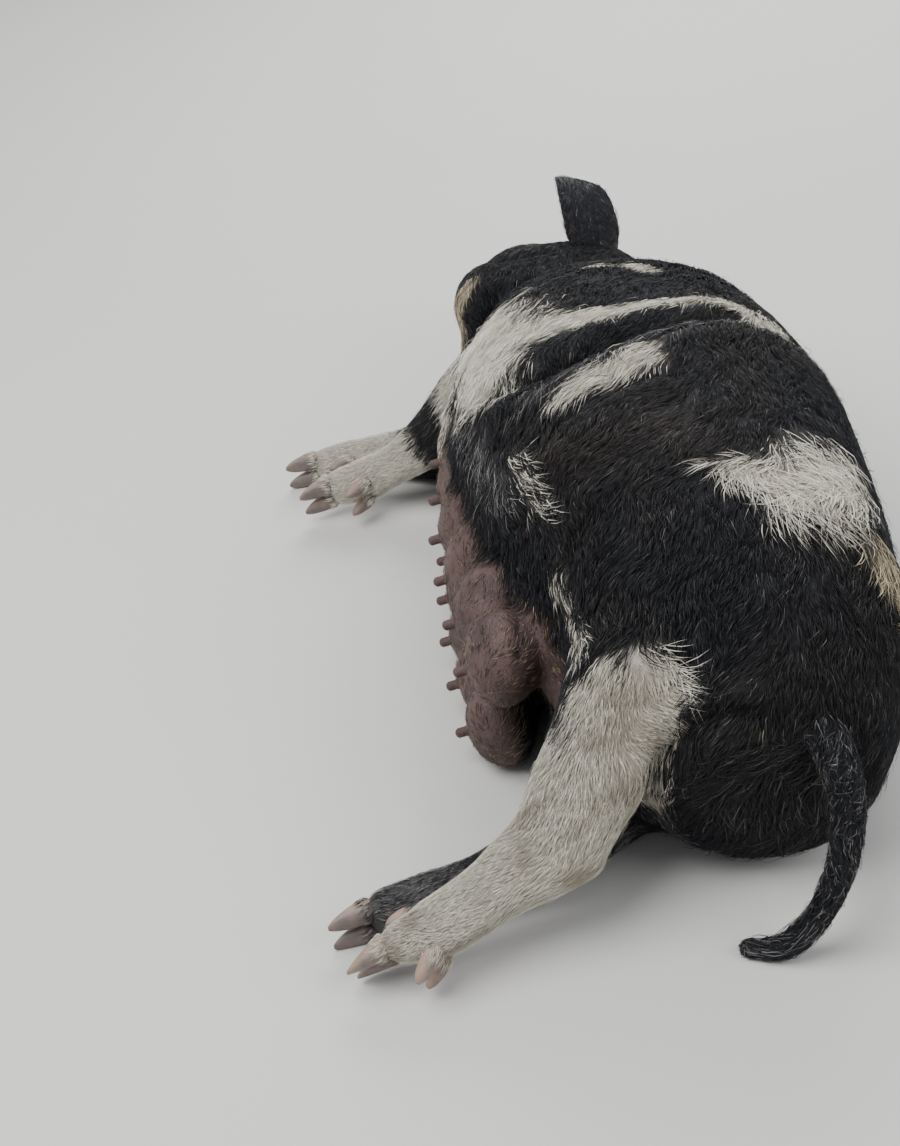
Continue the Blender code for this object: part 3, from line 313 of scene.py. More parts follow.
# A zone of the coat: places along its middle with its half width there, its tone, and its hair's length,
# curl, height over the skin and lie. A zone with no tone keeps the coat's colour.
Zone = namedtuple("Zone", "path tone length curl lift lie")
ZONES = {
    "throat": Zone(
        ((-0.205, 0.290, 0.260, 0.034), (-0.190, 0.215, 0.310, 0.048), (-0.182, 0.120, 0.345, 0.075),
         (-0.184, 0.030, 0.338, 0.056)),
        "white", 0.044, 0.25, 0.008, (-0.70, -0.68, -0.20),
    ),
    "finger": Zone(
        ((-0.185, 0.250, 0.300, 0.030), (-0.150, 0.270, 0.330, 0.018), (-0.110, 0.265, 0.345, 0.008)),
        "white", 0.034, 0.20, 0.006, (-0.72, -0.66, -0.10),
    ),
    "throat_side": Zone(
        ((-0.215, 0.240, 0.220, 0.042), (-0.240, 0.120, 0.210, 0.042)),
        "white", 0.044, 0.30, 0.008, (-0.35, -0.60, -0.70),
    ),
    "shoulder_band": Zone(
        ((-0.150, 0.080, 0.375, 0.044), (-0.075, 0.050, 0.402, 0.026), (-0.010, 0.052, 0.411, 0.019),
         (0.060, 0.074, 0.403, 0.016), (0.120, 0.090, 0.386, 0.018), (0.165, 0.055, 0.362, 0.020)),
        "white", 0.036, 0.25, 0.008, (-0.66, -0.74, 0.05),
    ),
    "band_end": Zone(
        ((0.165, 0.060, 0.362, 0.018), (0.200, 0.020, 0.325, 0.020), (0.228, -0.010, 0.270, 0.014)),
        "white", 0.038, 0.30, 0.008, (0.27, -0.96, -0.10),
    ),
    "second_streak": Zone(
        ((-0.130, -0.122, 0.385, 0.008), (-0.105, -0.114, 0.394, 0.014), (-0.055, -0.096, 0.406, 0.021),
         (-0.010, -0.072, 0.411, 0.021)),
        "white", 0.042, 0.25, 0.007, (-0.75, -0.62, -0.15),
    ),
    "ear_streak": Zone(
        ((-0.026, 0.320, 0.334, 0.010), (0.023, 0.255, 0.364, 0.012), (0.058, 0.235, 0.358, 0.010)),
        "white", 0.028, 0.20, 0.005, (-0.60, -0.70, 0.20),
    ),
    "belly_edge": Zone(
        ((-0.184, -0.150, 0.338, 0.011), (-0.174, -0.210, 0.332, 0.015), (-0.160, -0.262, 0.323, 0.012)),
        "pale", 0.042, 0.60, 0.009, (0.10, -0.90, -0.35),
    ),
    "belly_fringe": Zone(
        ((-0.215, 0.000, 0.300, 0.018), (-0.205, -0.100, 0.300, 0.020), (-0.190, -0.200, 0.300, 0.016)),
        "grey", 0.046, 0.45, 0.009, (-0.32, -0.56, -0.76),
    ),
    "flank": Zone(
        ((0.062, -0.305, 0.383, 0.024), (0.092, -0.310, 0.378, 0.038), (0.125, -0.302, 0.370, 0.050),
         (0.165, -0.272, 0.355, 0.052)),
        "white", 0.070, 0.75, 0.013, (0.00, -1.00, -0.10),
    ),
    "flank_left": Zone(
        ((0.028, -0.292, 0.384, 0.012), (0.060, -0.300, 0.383, 0.022)),
        "pale", 0.046, 0.60, 0.011, (-0.77, -0.63, -0.10),
    ),
    "flank_hang": Zone(
        ((0.085, -0.352, 0.370, 0.020), (0.135, -0.350, 0.361, 0.024)),
        "pale", 0.076, 0.80, 0.011, (-0.06, -0.90, -0.43),
    ),
    "loin": Zone(
        ((0.190, -0.370, 0.310, 0.026), (0.232, -0.390, 0.220, 0.032)),
        "cream", 0.056, 0.50, 0.010, (-0.10, -0.95, -0.30),
    ),
    "fold_strip": Zone(
        ((-0.160, -0.335, 0.290, 0.013), (-0.152, -0.370, 0.270, 0.016), (-0.145, -0.440, 0.264, 0.016)),
        "pale", 0.034, 0.30, 0.007, (0.16, -0.98, -0.05),
    ),
    "fold_hair": Zone(
        ((-0.170, -0.085, 0.355, 0.010), (-0.110, -0.070, 0.392, 0.014), (0.000, -0.030, 0.408, 0.014),
         (0.090, 0.012, 0.400, 0.014), (0.177, 0.018, 0.355, 0.010)),
        "grey", 0.044, 0.45, 0.008, (-0.45, -0.88, -0.10),
    ),
    "stifle_right": Zone(
        ((-0.080, -0.495, 0.298, 0.014), (-0.062, -0.525, 0.265, 0.018), (-0.092, -0.552, 0.215, 0.020)),
        "white", 0.056, 0.55, 0.011, (0.74, -0.60, -0.25),
    ),
    "stifle_left": Zone(
        ((-0.112, -0.486, 0.286, 0.014), (-0.135, -0.505, 0.250, 0.028)),
        "white", 0.036, 0.20, 0.008, (-0.45, -0.55, -0.68),
    ),
    "cleft_hair": Zone(
        ((-0.100, -0.565, 0.150, 0.014), (-0.080, -0.525, 0.085, 0.018)),
        "grey", 0.044, 0.50, 0.008, (0.55, -0.45, -0.70),
    ),
    "floor_hair": Zone(
        ((-0.090, -0.520, 0.034, 0.020), (-0.010, -0.545, 0.040, 0.024)),
        "grey", 0.062, 0.60, 0.009, (0.93, -0.30, -0.20),
    ),
    # The jowl's fringe: pale hair along the head's lower edge, painted cream for the warm sunlight that lights
    # it from behind, so part its own colour and part painted light.
    "jowl": Zone(
        ((-0.228, 0.540, 0.140, 0.024), (-0.216, 0.534, 0.190, 0.020), (-0.194, 0.536, 0.224, 0.014)),
        "cream", 0.038, 0.40, 0.008, (-0.45, -0.30, -0.80),
    ),
    "crest": Zone(
        ((0.200, 0.420, 0.180, 0.050), (0.236, 0.240, 0.170, 0.050), (0.248, 0.000, 0.190, 0.050),
         (0.245, -0.250, 0.190, 0.050)),
        None, 0.050, 0.45, 0.010, (0.05, -1.00, -0.10),
    ),
    "buttock": Zone(
        ((0.060, -0.560, 0.150, 0.070), (0.020, -0.560, 0.060, 0.060)),
        None, 0.044, 0.45, 0.008, (-0.45, -0.20, -0.85),
    ),
}
# The coat between the zones: its length, curl and height, then its lies, each as a place, how far it reaches,
# and the lie.
HAIR_LENGTH = 0.034
HAIR_CURL = 0.25
HAIR_LIFT = 0.0075
LIES = {
    "wedge": ((-0.090, 0.150, 0.390), 0.080, (-0.72, -0.66, -0.10)),
    "poll": ((0.040, 0.290, 0.360), 0.070, (-0.30, -0.90, 0.20)),
    "shoulder_back": ((0.060, -0.040, 0.410), 0.090, (-0.30, -0.95, -0.05)),
    "mid_side": ((-0.036, -0.208, 0.398), 0.090, (-0.60, -0.76, -0.10)),
    "upper_side": ((0.092, -0.229, 0.396), 0.090, (-0.17, -0.95, -0.20)),
    "thigh": ((-0.061, -0.410, 0.344), 0.080, (-0.34, -0.87, -0.36)),
    "rump": ((0.060, -0.500, 0.310), 0.110, (-0.20, -0.80, -0.58)),
    "buttock": ((-0.031, -0.545, 0.261), 0.070, (-0.34, -0.16, -0.92)),
    "gaskin": ((-0.128, -0.560, 0.215), 0.055, (0.10, -0.20, -0.95)),
    "gaskin_front": ((-0.182, -0.540, 0.178), 0.045, (-0.30, 0.35, -0.88)),
}
LIE_STRENGTH = 3.0

# The middle of the side, where the black hair has a brown grey tinge, and how far it reaches.
SIDE_TINGE = ((-0.030, -0.190, 0.400), 0.150, (1.9, 1.35, 0.80))

# The white thigh above the leg's free part, as places along its middle with its half width there.
WHITE_THIGH = (
    (-0.088, -0.502, 0.285, 0.024), (-0.102, -0.522, 0.250, 0.050), (-0.134, -0.556, 0.200, 0.056),
)
# The belly in front of the thigh, bare as the udder is.
GROIN = ((-0.178, -0.330, 0.180, 0.060), (-0.172, -0.420, 0.150, 0.055), (-0.160, -0.470, 0.110, 0.040))

MODULUS = 0xFFFF
TINY = 1e-9


class SkinSizes(bpy.types.PropertyGroup):
    """How the skin is made."""

    grain: bpy.props.FloatProperty(
        name="Grain", description="Voxel size of the fused flesh", default=0.0056, unit="LENGTH"
    )
    blend: bpy.props.FloatProperty(
        name="Blend", description="How far masses run into each other, as grain squared times passes",
        default=0.0016,
    )
    depth_trunk: bpy.props.FloatProperty(
        name="Trunk depth", description="How deep the skin lies under the trunk's coat",
        default=0.0070, unit="LENGTH",
    )
    depth_limbs: bpy.props.FloatProperty(
        name="Limb depth", description="How deep the skin lies under the coat of head and legs",
        default=0.0030, unit="LENGTH",
    )
    swell_feet: bpy.props.FloatProperty(
        name="Feet", description="How much fuller the skin is at the feet, which the blend makes thin",
        default=0.0048, unit="LENGTH",
    )
    rest: bpy.props.FloatProperty(
        name="Rest", description="Height of the flat that she lies on", default=0.0008, unit="LENGTH"
    )


class CoatSizes(bpy.types.PropertyGroup):
    """How the coat is grown."""

    tufts: bpy.props.IntProperty(name="Tufts", description="Number of tufts on the skin", default=205000)
    width: bpy.props.FloatProperty(
        name="Width", description="Width of a tuft of middle length", default=0.0013, unit="LENGTH"
    )
    clump: bpy.props.FloatProperty(
        name="Clump", description="How far a tuft's tip is drawn to its clump",
        default=0.36, subtype="FACTOR",
    )
    wander: bpy.props.FloatProperty(
        name="Wander", description="How far single tufts leave the lie", default=0.22, subtype="ANGLE"
    )
    sway: bpy.props.FloatProperty(
        name="Sway", description="How far whole patches leave the lie", default=0.55, subtype="ANGLE"
    )
    grey: bpy.props.FloatProperty(
        name="Grey", description="Share of grey hairs in the black coat", default=0.12, subtype="FACTOR"
    )
    seed: bpy.props.IntProperty(name="Seed", description="Start of the random draws", default=5)


def tone(name, words, colour):
    """A colour property."""
    return bpy.props.FloatVectorProperty(
        name=name, description=words, default=colour, subtype="COLOR", min=0, max=1
    )


class Tones(bpy.types.PropertyGroup):
    """Her colours."""

    black: tone("Black", "Black hair", (0.013, 0.014, 0.018))
    grey: tone("Grey", "Grey hair in the black coat", (0.128, 0.122, 0.118))
    white: tone("White", "White hair", (0.86, 0.82, 0.70))
    # Cream hair. On the jowl's fringe, its warmth is painted sunlight.
    cream: tone("Cream", "Cream hair", (0.50, 0.42, 0.29))
    brown: tone("Brown", "Brown tinge of the white leg and the side", (0.26, 0.19, 0.13))
    skin_dark: tone("Dark skin", "Skin under black hair", (0.016, 0.016, 0.019))
    skin_pale: tone("Pale skin", "Skin under white hair", (0.42, 0.38, 0.33))
    # The udder's bare skin: its own dark brown pink, darkened further as painted shade under her belly.
    udder: tone("Udder", "Bare skin of the udder", (0.085, 0.052, 0.048))
    ear: tone("Ear", "Skin inside the ears and at their roots", (0.050, 0.030, 0.029))
    snout: tone("Snout", "Skin of the snout", (0.060, 0.043, 0.044))
    horn_pale: tone("Pale horn", "Pink cream horn", (0.38, 0.265, 0.20))
    horn_dark: tone("Dark horn", "Grey horn", (0.16, 0.13, 0.12))
    iris: tone("Iris", "Brown iris", (0.045, 0.022, 0.010))


class Studio(bpy.types.PropertyGroup):
    """The camera, the lights and the floor."""

    place: bpy.props.FloatVectorProperty(
        name="Camera", description="Place of the camera", default=(-0.27, -1.95, 1.43), subtype="TRANSLATION"
    )
    pitch: bpy.props.FloatProperty(
        name="Pitch", description="How far the camera looks down",
        default=math.radians(35.0), subtype="ANGLE",
    )
    roll: bpy.props.FloatProperty(
        name="Roll", description="How far the camera leans", default=math.radians(5.5), subtype="ANGLE"
    )
    lens: bpy.props.FloatProperty(
        name="Lens", description="Focal length over the frame's long side, in mm", default=36 * 1804 / 1146
    )
    key: bpy.props.FloatProperty(name="Key", description="Power of the main light, in watts", default=116.0)
    fill: bpy.props.FloatProperty(
        name="Fill", description="Power of the second light, in watts", default=46.0
    )
    sky: bpy.props.FloatProperty(name="Sky", description="Strength of the even light", default=0.46)
    floor: bpy.props.FloatVectorProperty(
        name="Floor", description="Colour of the floor", default=(0.66, 0.65, 0.63),
        subtype="COLOR", min=0, max=1,
    )


def settings(context):
    """The four groups of settings."""
    scene = context.scene
    return scene.sow_skin, scene.sow_coat, scene.sow_tones, scene.sow_studio


class Wire:
    """A socket's value, with sums written as Python sums."""

    def __init__(self, finish, socket):
        self.finish = finish
        self.socket = socket

    def math(self, operation, *values):
        return self.finish.node("ShaderNodeMath", {"operation": operation}, *values)

    def __add__(self, other):
        return self.math("ADD", self, other)

    def __mul__(self, other):
        return self.math("MULTIPLY", self, other)

    __radd__ = __add__
    __rmul__ = __mul__

    def clamped(self, low=0.0, high=1.0):
        """The value within two bounds."""
        return self.finish.node("ShaderNodeClamp", {}, self, low, high)

    def scaled(self, factor):
        """The vector stretched by a number on each axis."""
        return self.finish.node("ShaderNodeVectorMath", {"operation": "MULTIPLY"}, self, factor)


class Finish:
    """A material under construction."""

    def __init__(self, name, **constants):
        self.material = bpy.data.materials.new(name)
        self.material.use_nodes = True
        self.tree = self.material.node_tree
        self.shader = self.tree.nodes["Principled BSDF"]
        for key, value in constants.items():
            self.set(key.replace("_", " "), value)

    def link(self, value, socket):
        """Puts a wire, or a plain value, on a socket."""
        if isinstance(value, Wire):
            self.tree.links.new(value.socket, socket)
        elif value is not None:
            socket.default_value = value

    def set(self, name, value):
        """Sets one of the surface's own sockets."""
        if isinstance(value, tuple) and len(value) == 3:
            value = (*value, 1.0)
        self.link(value, self.shader.inputs[name])

    def node(self, kind, how, *values, out=0, **named):
        """A node with its settings, then its sockets in order or by name."""
        node = self.tree.nodes.new(kind)
        for key, value in how.items():
            if key == "stops":
                for i, (place, level) in enumerate(value):
                    stop = node.color_ramp.elements[i] if i < 2 else node.color_ramp.elements.new(place)
                    stop.position = place
                    stop.color = (*[level] * 3, 1.0)
            else:
                setattr(node, key, value)
        for i, value in enumerate(values):
            self.link(value, node.inputs[i])
        for key, value in named.items():
            self.link(value, node.inputs[key.replace("_", " ")])
        return Wire(self, node.outputs[out])

    def mix(self, factor, first, second, blend="MIX"):
        """A colour between two others."""
        node = self.tree.nodes.new("ShaderNodeMix")
        node.data_type = "RGBA"
        node.blend_type = blend
        for index, value in ((0, factor), (6, first), (7, second)):
            if isinstance(value, tuple):
                value = (*value, 1.0)
            self.link(value, node.inputs[index])
        return Wire(self, node.outputs[2])

    def darken(self, colour, shade):
        """Sets the surface's colour, times a shade."""
        grey = self.node("ShaderNodeCombineColor", {}, shade, shade, shade)
        self.set("Base Color", self.mix(1.0, colour, grey, "MULTIPLY"))

    def place(self):
        """The place on the object."""
        return self.node("ShaderNodeTexCoord", {}, out=3)

    def noise(self, scale, detail=3.0, stretch=None):
        """Even noise from 0 to 1."""
        place = self.place().scaled(stretch) if stretch else self.place()
        return self.node("ShaderNodeTexNoise", {}, Vector=place, Scale=scale, Detail=detail, Roughness=0.55)

    def cells(self, scale, feature="F1"):
        """Distance to the middle of cells, or to their edge."""
        return self.node("ShaderNodeTexVoronoi", {"feature": feature}, Vector=self.place(), Scale=scale)

    def painted(self):
        """The colour that the mesh carries."""
        return self.node("ShaderNodeAttribute", {"attribute_name": "tone"}, out=0)

    def bump(self, height, distance, strength=1.0):
        """Relief on the surface."""
        how = {"Strength": strength, "Distance": distance, "Height": height}
        self.set("Normal", self.node("ShaderNodeBump", {}, **how))


def skin_finish():
    """Skin: painted tones, pores, creases and bristle roots."""
    finish = Finish("sow_skin", Roughness=0.55, Specular_IOR_Level=0.35)
    blotch = finish.noise(38.0, 4.0)
    fine = finish.noise(420.0, 2.0)
    pores = finish.cells(520.0)
    lines = finish.cells(150.0, "DISTANCE_TO_EDGE")
    shade = 0.72 + blotch * 0.36 + fine * 0.22
    finish.darken(finish.painted(), shade)
    finish.set("Roughness", (0.42 + blotch * 0.22 + fine * 0.10).clamped())
    creases = finish.node("ShaderNodeValToRGB", {"stops": ((0.0, 0.0), (0.10, 1.0))}, lines)
    finish.bump(creases * 0.55 + pores * 0.35 + fine * 0.5, 0.0009, 0.8)
    return finish.material


def coat_finish():
    """Hair: painted tones with a fine variation along and across it."""
    finish = Finish("sow_coat", Specular_IOR_Level=0.30)
    grain = finish.noise(650.0, 2.0)
    shade = 0.84 + grain * 0.32
    finish.darken(finish.painted(), shade)
    finish.set("Roughness", (0.50 + grain * 0.24).clamped())
    return finish.material


def snout_finish():
    """Leathery, slightly moist skin with dimples."""
    finish = Finish("sow_snout", Specular_IOR_Level=0.5)
    blotch = finish.noise(60.0, 4.0)
    dimples = finish.cells(330.0)
    lines = finish.cells(210.0, "DISTANCE_TO_EDGE")
    shade = 0.60 + blotch * 0.70
    finish.darken(finish.painted(), shade)
    finish.set("Roughness", (0.30 + blotch * 0.25 + dimples * 0.10).clamped())
    creases = finish.node("ShaderNodeValToRGB", {"stops": ((0.0, 0.0), (0.14, 1.0))}, lines)
    finish.bump(creases * 0.7 + dimples * 0.4, 0.0010, 0.9)
    return finish.material


def horn_finish():
    """Horn: painted tones, growth lines, scratches and a dull gloss."""
    finish = Finish("sow_horn", Specular_IOR_Level=0.45)
    grain = finish.noise(90.0, 4.0, (1.0, 4.0, 4.0))
    scratch = finish.noise(500.0, 3.0, (0.3, 2.0, 2.0))
    shade = 0.68 + grain * 0.50 + scratch * 0.14
    finish.darken(finish.painted(), shade)
    finish.set("Roughness", (0.34 + grain * 0.26).clamped())
    finish.bump(grain * 0.6 + scratch * 0.4, 0.0006, 0.7)
    return finish.material


def eye_finish():
    """A wet eyeball with a brown iris and a dark pupil."""
    finish = Finish("sow_eye", Roughness=0.10, Coat_Weight=0.9, Coat_Roughness=0.03)
    finish.set("Base Color", finish.painted())
    return finish.material


def floor_finish(colour):
    """A plain pale floor with a faint unevenness."""
    finish = Finish("studio_floor", Roughness=0.75, Specular_IOR_Level=0.2)
    cloud = finish.noise(1.4, 3.0)
    shade = 0.97 + cloud * 0.06
    finish.darken(tuple(colour), shade)
    return finish.material


def material(name, make, *values):
    """A material by its name, made when it is first asked for."""
    return bpy.data.materials.get(name) or make(*values)


def head_frame():
    """The matrix that takes forward, up and left places of the head into the row frame."""
    up = HEAD_FORWARD.cross(HEAD_LEFT).normalized()
    left = up.cross(HEAD_FORWARD)
    turned = Matrix((HEAD_FORWARD, up, left)).transposed().to_4x4()
    return Matrix.Translation(HEAD_PLACE) @ turned


HEAD = head_frame()


def in_head(forward, up, left):
    """A place of the head in the row frame."""
    return HEAD @ Vector((forward, up, left))


def head_way(forward, up, left):
    """A direction of the head in the row frame."""
    return (HEAD.to_3x3() @ Vector((forward, up, left))).normalized()


def unit(vectors):
    """Vectors of length 1."""
    return vectors / np.maximum(np.linalg.norm(vectors, axis=-1, keepdims=True), TINY)


def dot(a, b):
    """Dot products, row by row."""
    return np.sum(a * b, axis=-1)


def smooth(values, low=0.0, high=1.0):
    """An even step from 0 at low to 1 at high."""
    share = np.clip((values - low) / (high - low), 0, 1)
    return share * share * (3 - 2 * share)


def cloud(points, grain, seed=0):
    """Smooth random values from 0 to 1 over space, with features about as large as the grain."""
    cell = points / grain + 31.7 * (seed + 1)
    low = np.floor(cell).astype(np.int64)
    share = cell - low
    share = share * share * (3 - 2 * share)
    total = np.zeros(len(points))
    for corner in np.ndindex(2, 2, 2):
        at = low + corner
        mixed = at[:, 0] * 73856093 ^ at[:, 1] * 19349663 ^ at[:, 2] * 83492791 ^ seed * 9973
        mixed = (mixed ^ (mixed >> 13)) * 1274126177
        value = ((mixed ^ (mixed >> 16)) & MODULUS) / MODULUS
        total += value * np.prod(np.where(corner, share, 1 - share), axis=1)
    return total


def off_path(points, path):
    """How far points lie from a path, the share along it where it is nearest, and its fourth value there."""
    path = np.array(path, float)
    nearest = np.full(len(points), np.inf)
    share = np.zeros(len(points))
    value = np.zeros(len(points))
    for i, (start, end) in enumerate(zip(path, path[1:])):
        way = end[:3] - start[:3]
        along = np.clip((points - start[:3]) @ way / (way @ way), 0, 1)
        distance = np.linalg.norm(points - start[:3] - along[:, None] * way, axis=1)
        closer = distance < nearest
        nearest[closer] = distance[closer]
        share[closer] = (i + along[closer]) / (len(path) - 1)
        if len(start) > 3:
            value[closer] = start[3] + (end[3] - start[3]) * along[closer]
    return nearest, share, value


def spline(rows, count):
    """Rows of numbers as a smooth curve through them, at evenly spaced places."""
    rows = np.array(rows, float)
    padded = np.vstack([2 * rows[0] - rows[1], rows, 2 * rows[-1] - rows[-2]])
    made = []
    for place in np.linspace(0, len(rows) - 1, count):
        i = min(int(place), len(rows) - 2)
        t = place - i
        a, b, c, d = padded[i : i + 4]
        cubic = (3 * b - a - 3 * c + d) * t**3
        made.append(0.5 * (2 * b + (c - a) * t + (2 * a - 5 * b + 4 * c - d) * t**2 + cubic))
    return np.array(made)


def mesh_object(name, shape):
    """An object from a bmesh, which it frees."""
    bmesh.ops.recalc_face_normals(shape, faces=shape.faces)
    mesh = bpy.data.meshes.new(name)
    shape.to_mesh(mesh)
    shape.free()
    mesh.shade_smooth()
    obj = bpy.data.objects.new(name, mesh)
    bpy.context.scene.collection.objects.link(obj)
    return obj


def settle(obj):
    """Turns what the modifiers make of an object into its own mesh."""
    bpy.context.view_layer.update()
    graph = bpy.context.evaluated_depsgraph_get()
    mesh = bpy.data.meshes.new_from_object(obj.evaluated_get(graph))
    obj.modifiers.clear()
    obj.data = mesh
    return obj


def places_of(mesh):
    """The places and the normals of a mesh's points."""
    count = len(mesh.vertices)
    places, normals = np.empty(count * 3), np.empty(count * 3)
    mesh.vertices.foreach_get("co", places)
    mesh.vertices.foreach_get("normal", normals)
    return places.reshape(-1, 3), normals.reshape(-1, 3)


def move_points(mesh, places):
    """Puts a mesh's points at new places."""
    mesh.vertices.foreach_set("co", np.ascontiguousarray(places, np.float32).ravel())
    mesh.update()


def paint(mesh, colours):
    """Gives each point of a mesh its tone."""
    layer = mesh.color_attributes.new("tone", "FLOAT_COLOR", "POINT")
    filled = np.ones((len(colours), 4), np.float32)
    filled[:, :3] = colours
    layer.data.foreach_set("color", filled.ravel())


def finish_piece(obj, material, slot, *nodes):
    """Gives a piece its material and its body, and hides the nodes that it stands for; the slot is not used.
    """
    obj.data.materials.clear()
    obj.data.materials.append(material)
    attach(obj, "root")
    if nodes:
        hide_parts(*nodes)
    return obj


def skin_over(shape, rings):
    """Joins rings of as many points each into one closed surface."""
    loops = [[shape.verts.new(point) for point in ring] for ring in rings]
    count = len(loops[0])
    for near, far in zip(loops, loops[1:]):
        for i in range(count):
            j = (i + 1) % count
            shape.faces.new((near[i], near[j], far[j], far[i]))
    shape.faces.new(loops[0])
    shape.faces.new(reversed(loops[-1]))


def oval(centre, side, up, half_side, half_up, squareness=2.0, count=24):
    """Points round an oval, rounder or squarer."""
    points = []
    for i in range(count):
        angle = math.tau * i / count
        c, s = math.cos(angle), math.sin(angle)
        across = math.copysign(abs(c) ** (2 / squareness), c) * half_side
        along = math.copysign(abs(s) ** (2 / squareness), s) * half_up
        points.append(centre + side * across + up * along)
    return points


def ellipsoid(shape, matrix, half_sizes, segments=24):
    """A closed ellipsoid in the frame of matrix."""
    bmesh.ops.create_uvsphere(
        shape,
        u_segments=segments,
        v_segments=segments // 2 + 1,
        radius=1.0,
        matrix=matrix @ Matrix.Diagonal((*half_sizes, 1.0)),
    )


def tube(shape, points, widths, heights, up, count=20, last=None):
    """A closed tube with an oval section and rounded ends, as far as the point numbered last."""
    points = [Vector(point) for point in points]
    end = len(points) - 1
    last = end if last is None else last
    rings = []
    for i, point in enumerate(points[: last + 1]):
        along = (points[min(i + 1, end)] - points[max(i - 1, 0)]).normalized()
        side = along.cross(up).normalized()
        level = side.cross(along)
        rings.append(oval(point, side, level, widths[i], heights[i], count=count))
        if i in (0, last):
            outward = -along if i == 0 else along
            tip = point + outward * 0.8 * min(widths[i], heights[i])
            cap = oval(tip, side, level, widths[i] * 0.5, heights[i] * 0.5, count=count)
            rings.insert(0 if i == 0 else len(rings), cap)
    skin_over(shape, rings)


def trunk(shape):
    """The barrel from rump to neck, as a loft of squarish ovals across it."""
    rings = []
    for share, belly, back, top, under in TRUNK_SECTIONS:
        low, high = -BELLY_REACH * belly, BACK_REACH * back
        roof = FLANK_HEIGHT * top
        centre = Vector(((low + high) / 2, TRUNK_START + TRUNK_LENGTH * share, (under + roof) / 2))
        across, up = Vector((1, 0, 0)), Vector((0, 0, 1))
        half_up = (roof - under) / 2
        rings.append(oval(centre, across, up, (high - low) / 2, half_up, TRUNK_SQUARENESS, 32))
    skin_over(shape, rings)


def head_masses(shape):
    """The head as a loft from nape to snout, with its cheeks, jowls, brows and chin."""
    rings = []
    for forward, crown, throat, half in HEAD_SECTIONS:
        centre = in_head(forward, (crown + throat) / 2, 0)
        up, left = head_way(0, 1, 0), head_way(0, 0, 1)
        rings.append(oval(centre, up, left, (crown - throat) / 2, half, HEAD_SQUARENESS, 32))
    skin_over(shape, rings)
    for _, place, half_sizes in HEAD_MASSES:
        for side in (1, -1) if place[2] else (1,):
            centre = Vector((place[0], place[1], place[2] * side))
            ellipsoid(shape, HEAD @ Matrix.Translation(centre), half_sizes)


def foot_frame(leg):
    """Where a leg's foot starts, the way its toes point, the way its front faces, and its upper side."""
    ankle = Vector(leg["joints"][-1][0])
    down = Vector(leg["toes"]).normalized()
    front = down.cross(Vector((0, 0, 1))).normalized()
    front = front if front.y > 0 else -front
    upper = front.cross(down)
    upper = upper if upper.z > 0 else -upper
    c, s = math.cos(math.radians(leg["roll"])), math.sin(math.radians(leg["roll"]))
    return ankle, down, front * c + upper * s, upper * c - front * s


def leg_masses(shape, leg):
    """One leg from its root to the toes."""
    joints = leg["joints"]
    up = Vector((0, 0, 1))
    widths = [joint[1] for joint in joints]
    heights = [joint[2] for joint in joints]
    tube(shape, [joint[0] for joint in joints], widths, heights, up)
    if leg["heel"]:
        hock, heel = Vector(joints[3][0]), Vector(leg["heel"])
        tube(shape, [hock, (hock + heel) / 2, heel], *HEEL_SIZES, up)
    ankle, down, front, upper = foot_frame(leg)
    for side in (1, -1):
        root = ankle + upper * side * TOE_SPREAD * 0.6
        toe = ankle + down * TOE_LENGTH + upper * side * TOE_SPREAD
        tube(shape, [root, (root + toe) / 2, toe], *TOE_SIZES, upper)
        spur = ankle - front * SPUR_REACH + upper * side * TOE_SPREAD
        tube(shape, [ankle, (ankle + spur) / 2, spur], *SPUR_SIZES, upper)


def gland_places():
    """The middle of each gland."""
    for height, shift in GLAND_ROWS:
        for i in range(GLANDS_A_ROW):
            y = GLAND_FIRST + GLAND_STEP * i + shift
            swell = GLAND_SWELL * math.cos((y - SWELL_MIDDLE) * SWELL_TURN)
            yield Vector((-GLAND_REACH - swell, y, height))


def forward_of(points):
    """How far forward each point lies in the head's frame."""
    return (points - np.array(HEAD_PLACE)) @ np.array(HEAD_FORWARD)


def udder_share(points):
    """1 on the bare udder and in the groin, fading to 0 round them."""
    share = np.zeros(len(points))
    for place in gland_places():
        distance = np.linalg.norm((points - np.array(place)) / np.array(GLAND_HALF_SIZES), axis=1)
        share = np.maximum(share, smooth(1.30 - distance, 0, 0.28))
    share *= smooth(-points[:, 0], 0.185, 0.215)
    distance, _, half = off_path(points, GROIN)
    groin = smooth(1.25 - distance / half, 0, 0.5) * smooth(0.275 - points[:, 2], 0, 0.03)
    groin *= 1 - leg_share(points, LEGS["hind_left"])[0]
    return np.maximum(share, groin * smooth(-points[:, 0], 0.135, 0.165))


def leg_share(points, leg):
    """1 along a leg's free part and 0 elsewhere, the place along it in joints, and its direction there."""
    joints = leg["joints"]
    path = [(*joint[0], max(joint[1:])) for joint in joints]
    ankle, down, _, _ = foot_frame(leg)
    path.append((*(ankle + down * TOE_LENGTH * 1.6), joints[-1][1]))
    distance, share, half = off_path(points, path)
    along = share * (len(path) - 1)
    places = np.array(path)[:, :3]
    index = np.minimum(along.astype(int), len(path) - 2)
    ways = unit(places[index + 1] - places[index])
    inside = smooth(1.45 - distance / half, 0, 0.30) * smooth(along, leg["free"] - 0.35, leg["free"] + 0.35)
    return inside, along, ways


def coat_depth(points, sizes):
    """How far the skin lies inside the solids: by the coat's depth, and nothing where it is bare."""
    limbs = smooth(forward_of(points), -0.16, -0.04)
    feet = np.zeros(len(points))
    for leg in LEGS.values():
        inside, along, _ = leg_share(points, leg)
        limbs = np.maximum(limbs, inside)
        feet = np.maximum(feet, inside * smooth(along, 4.3, 5.2))
    depth = sizes.depth_trunk + (sizes.depth_limbs - sizes.depth_trunk) * limbs
    return depth * (1 - udder_share(points)) - sizes.swell_feet * feet


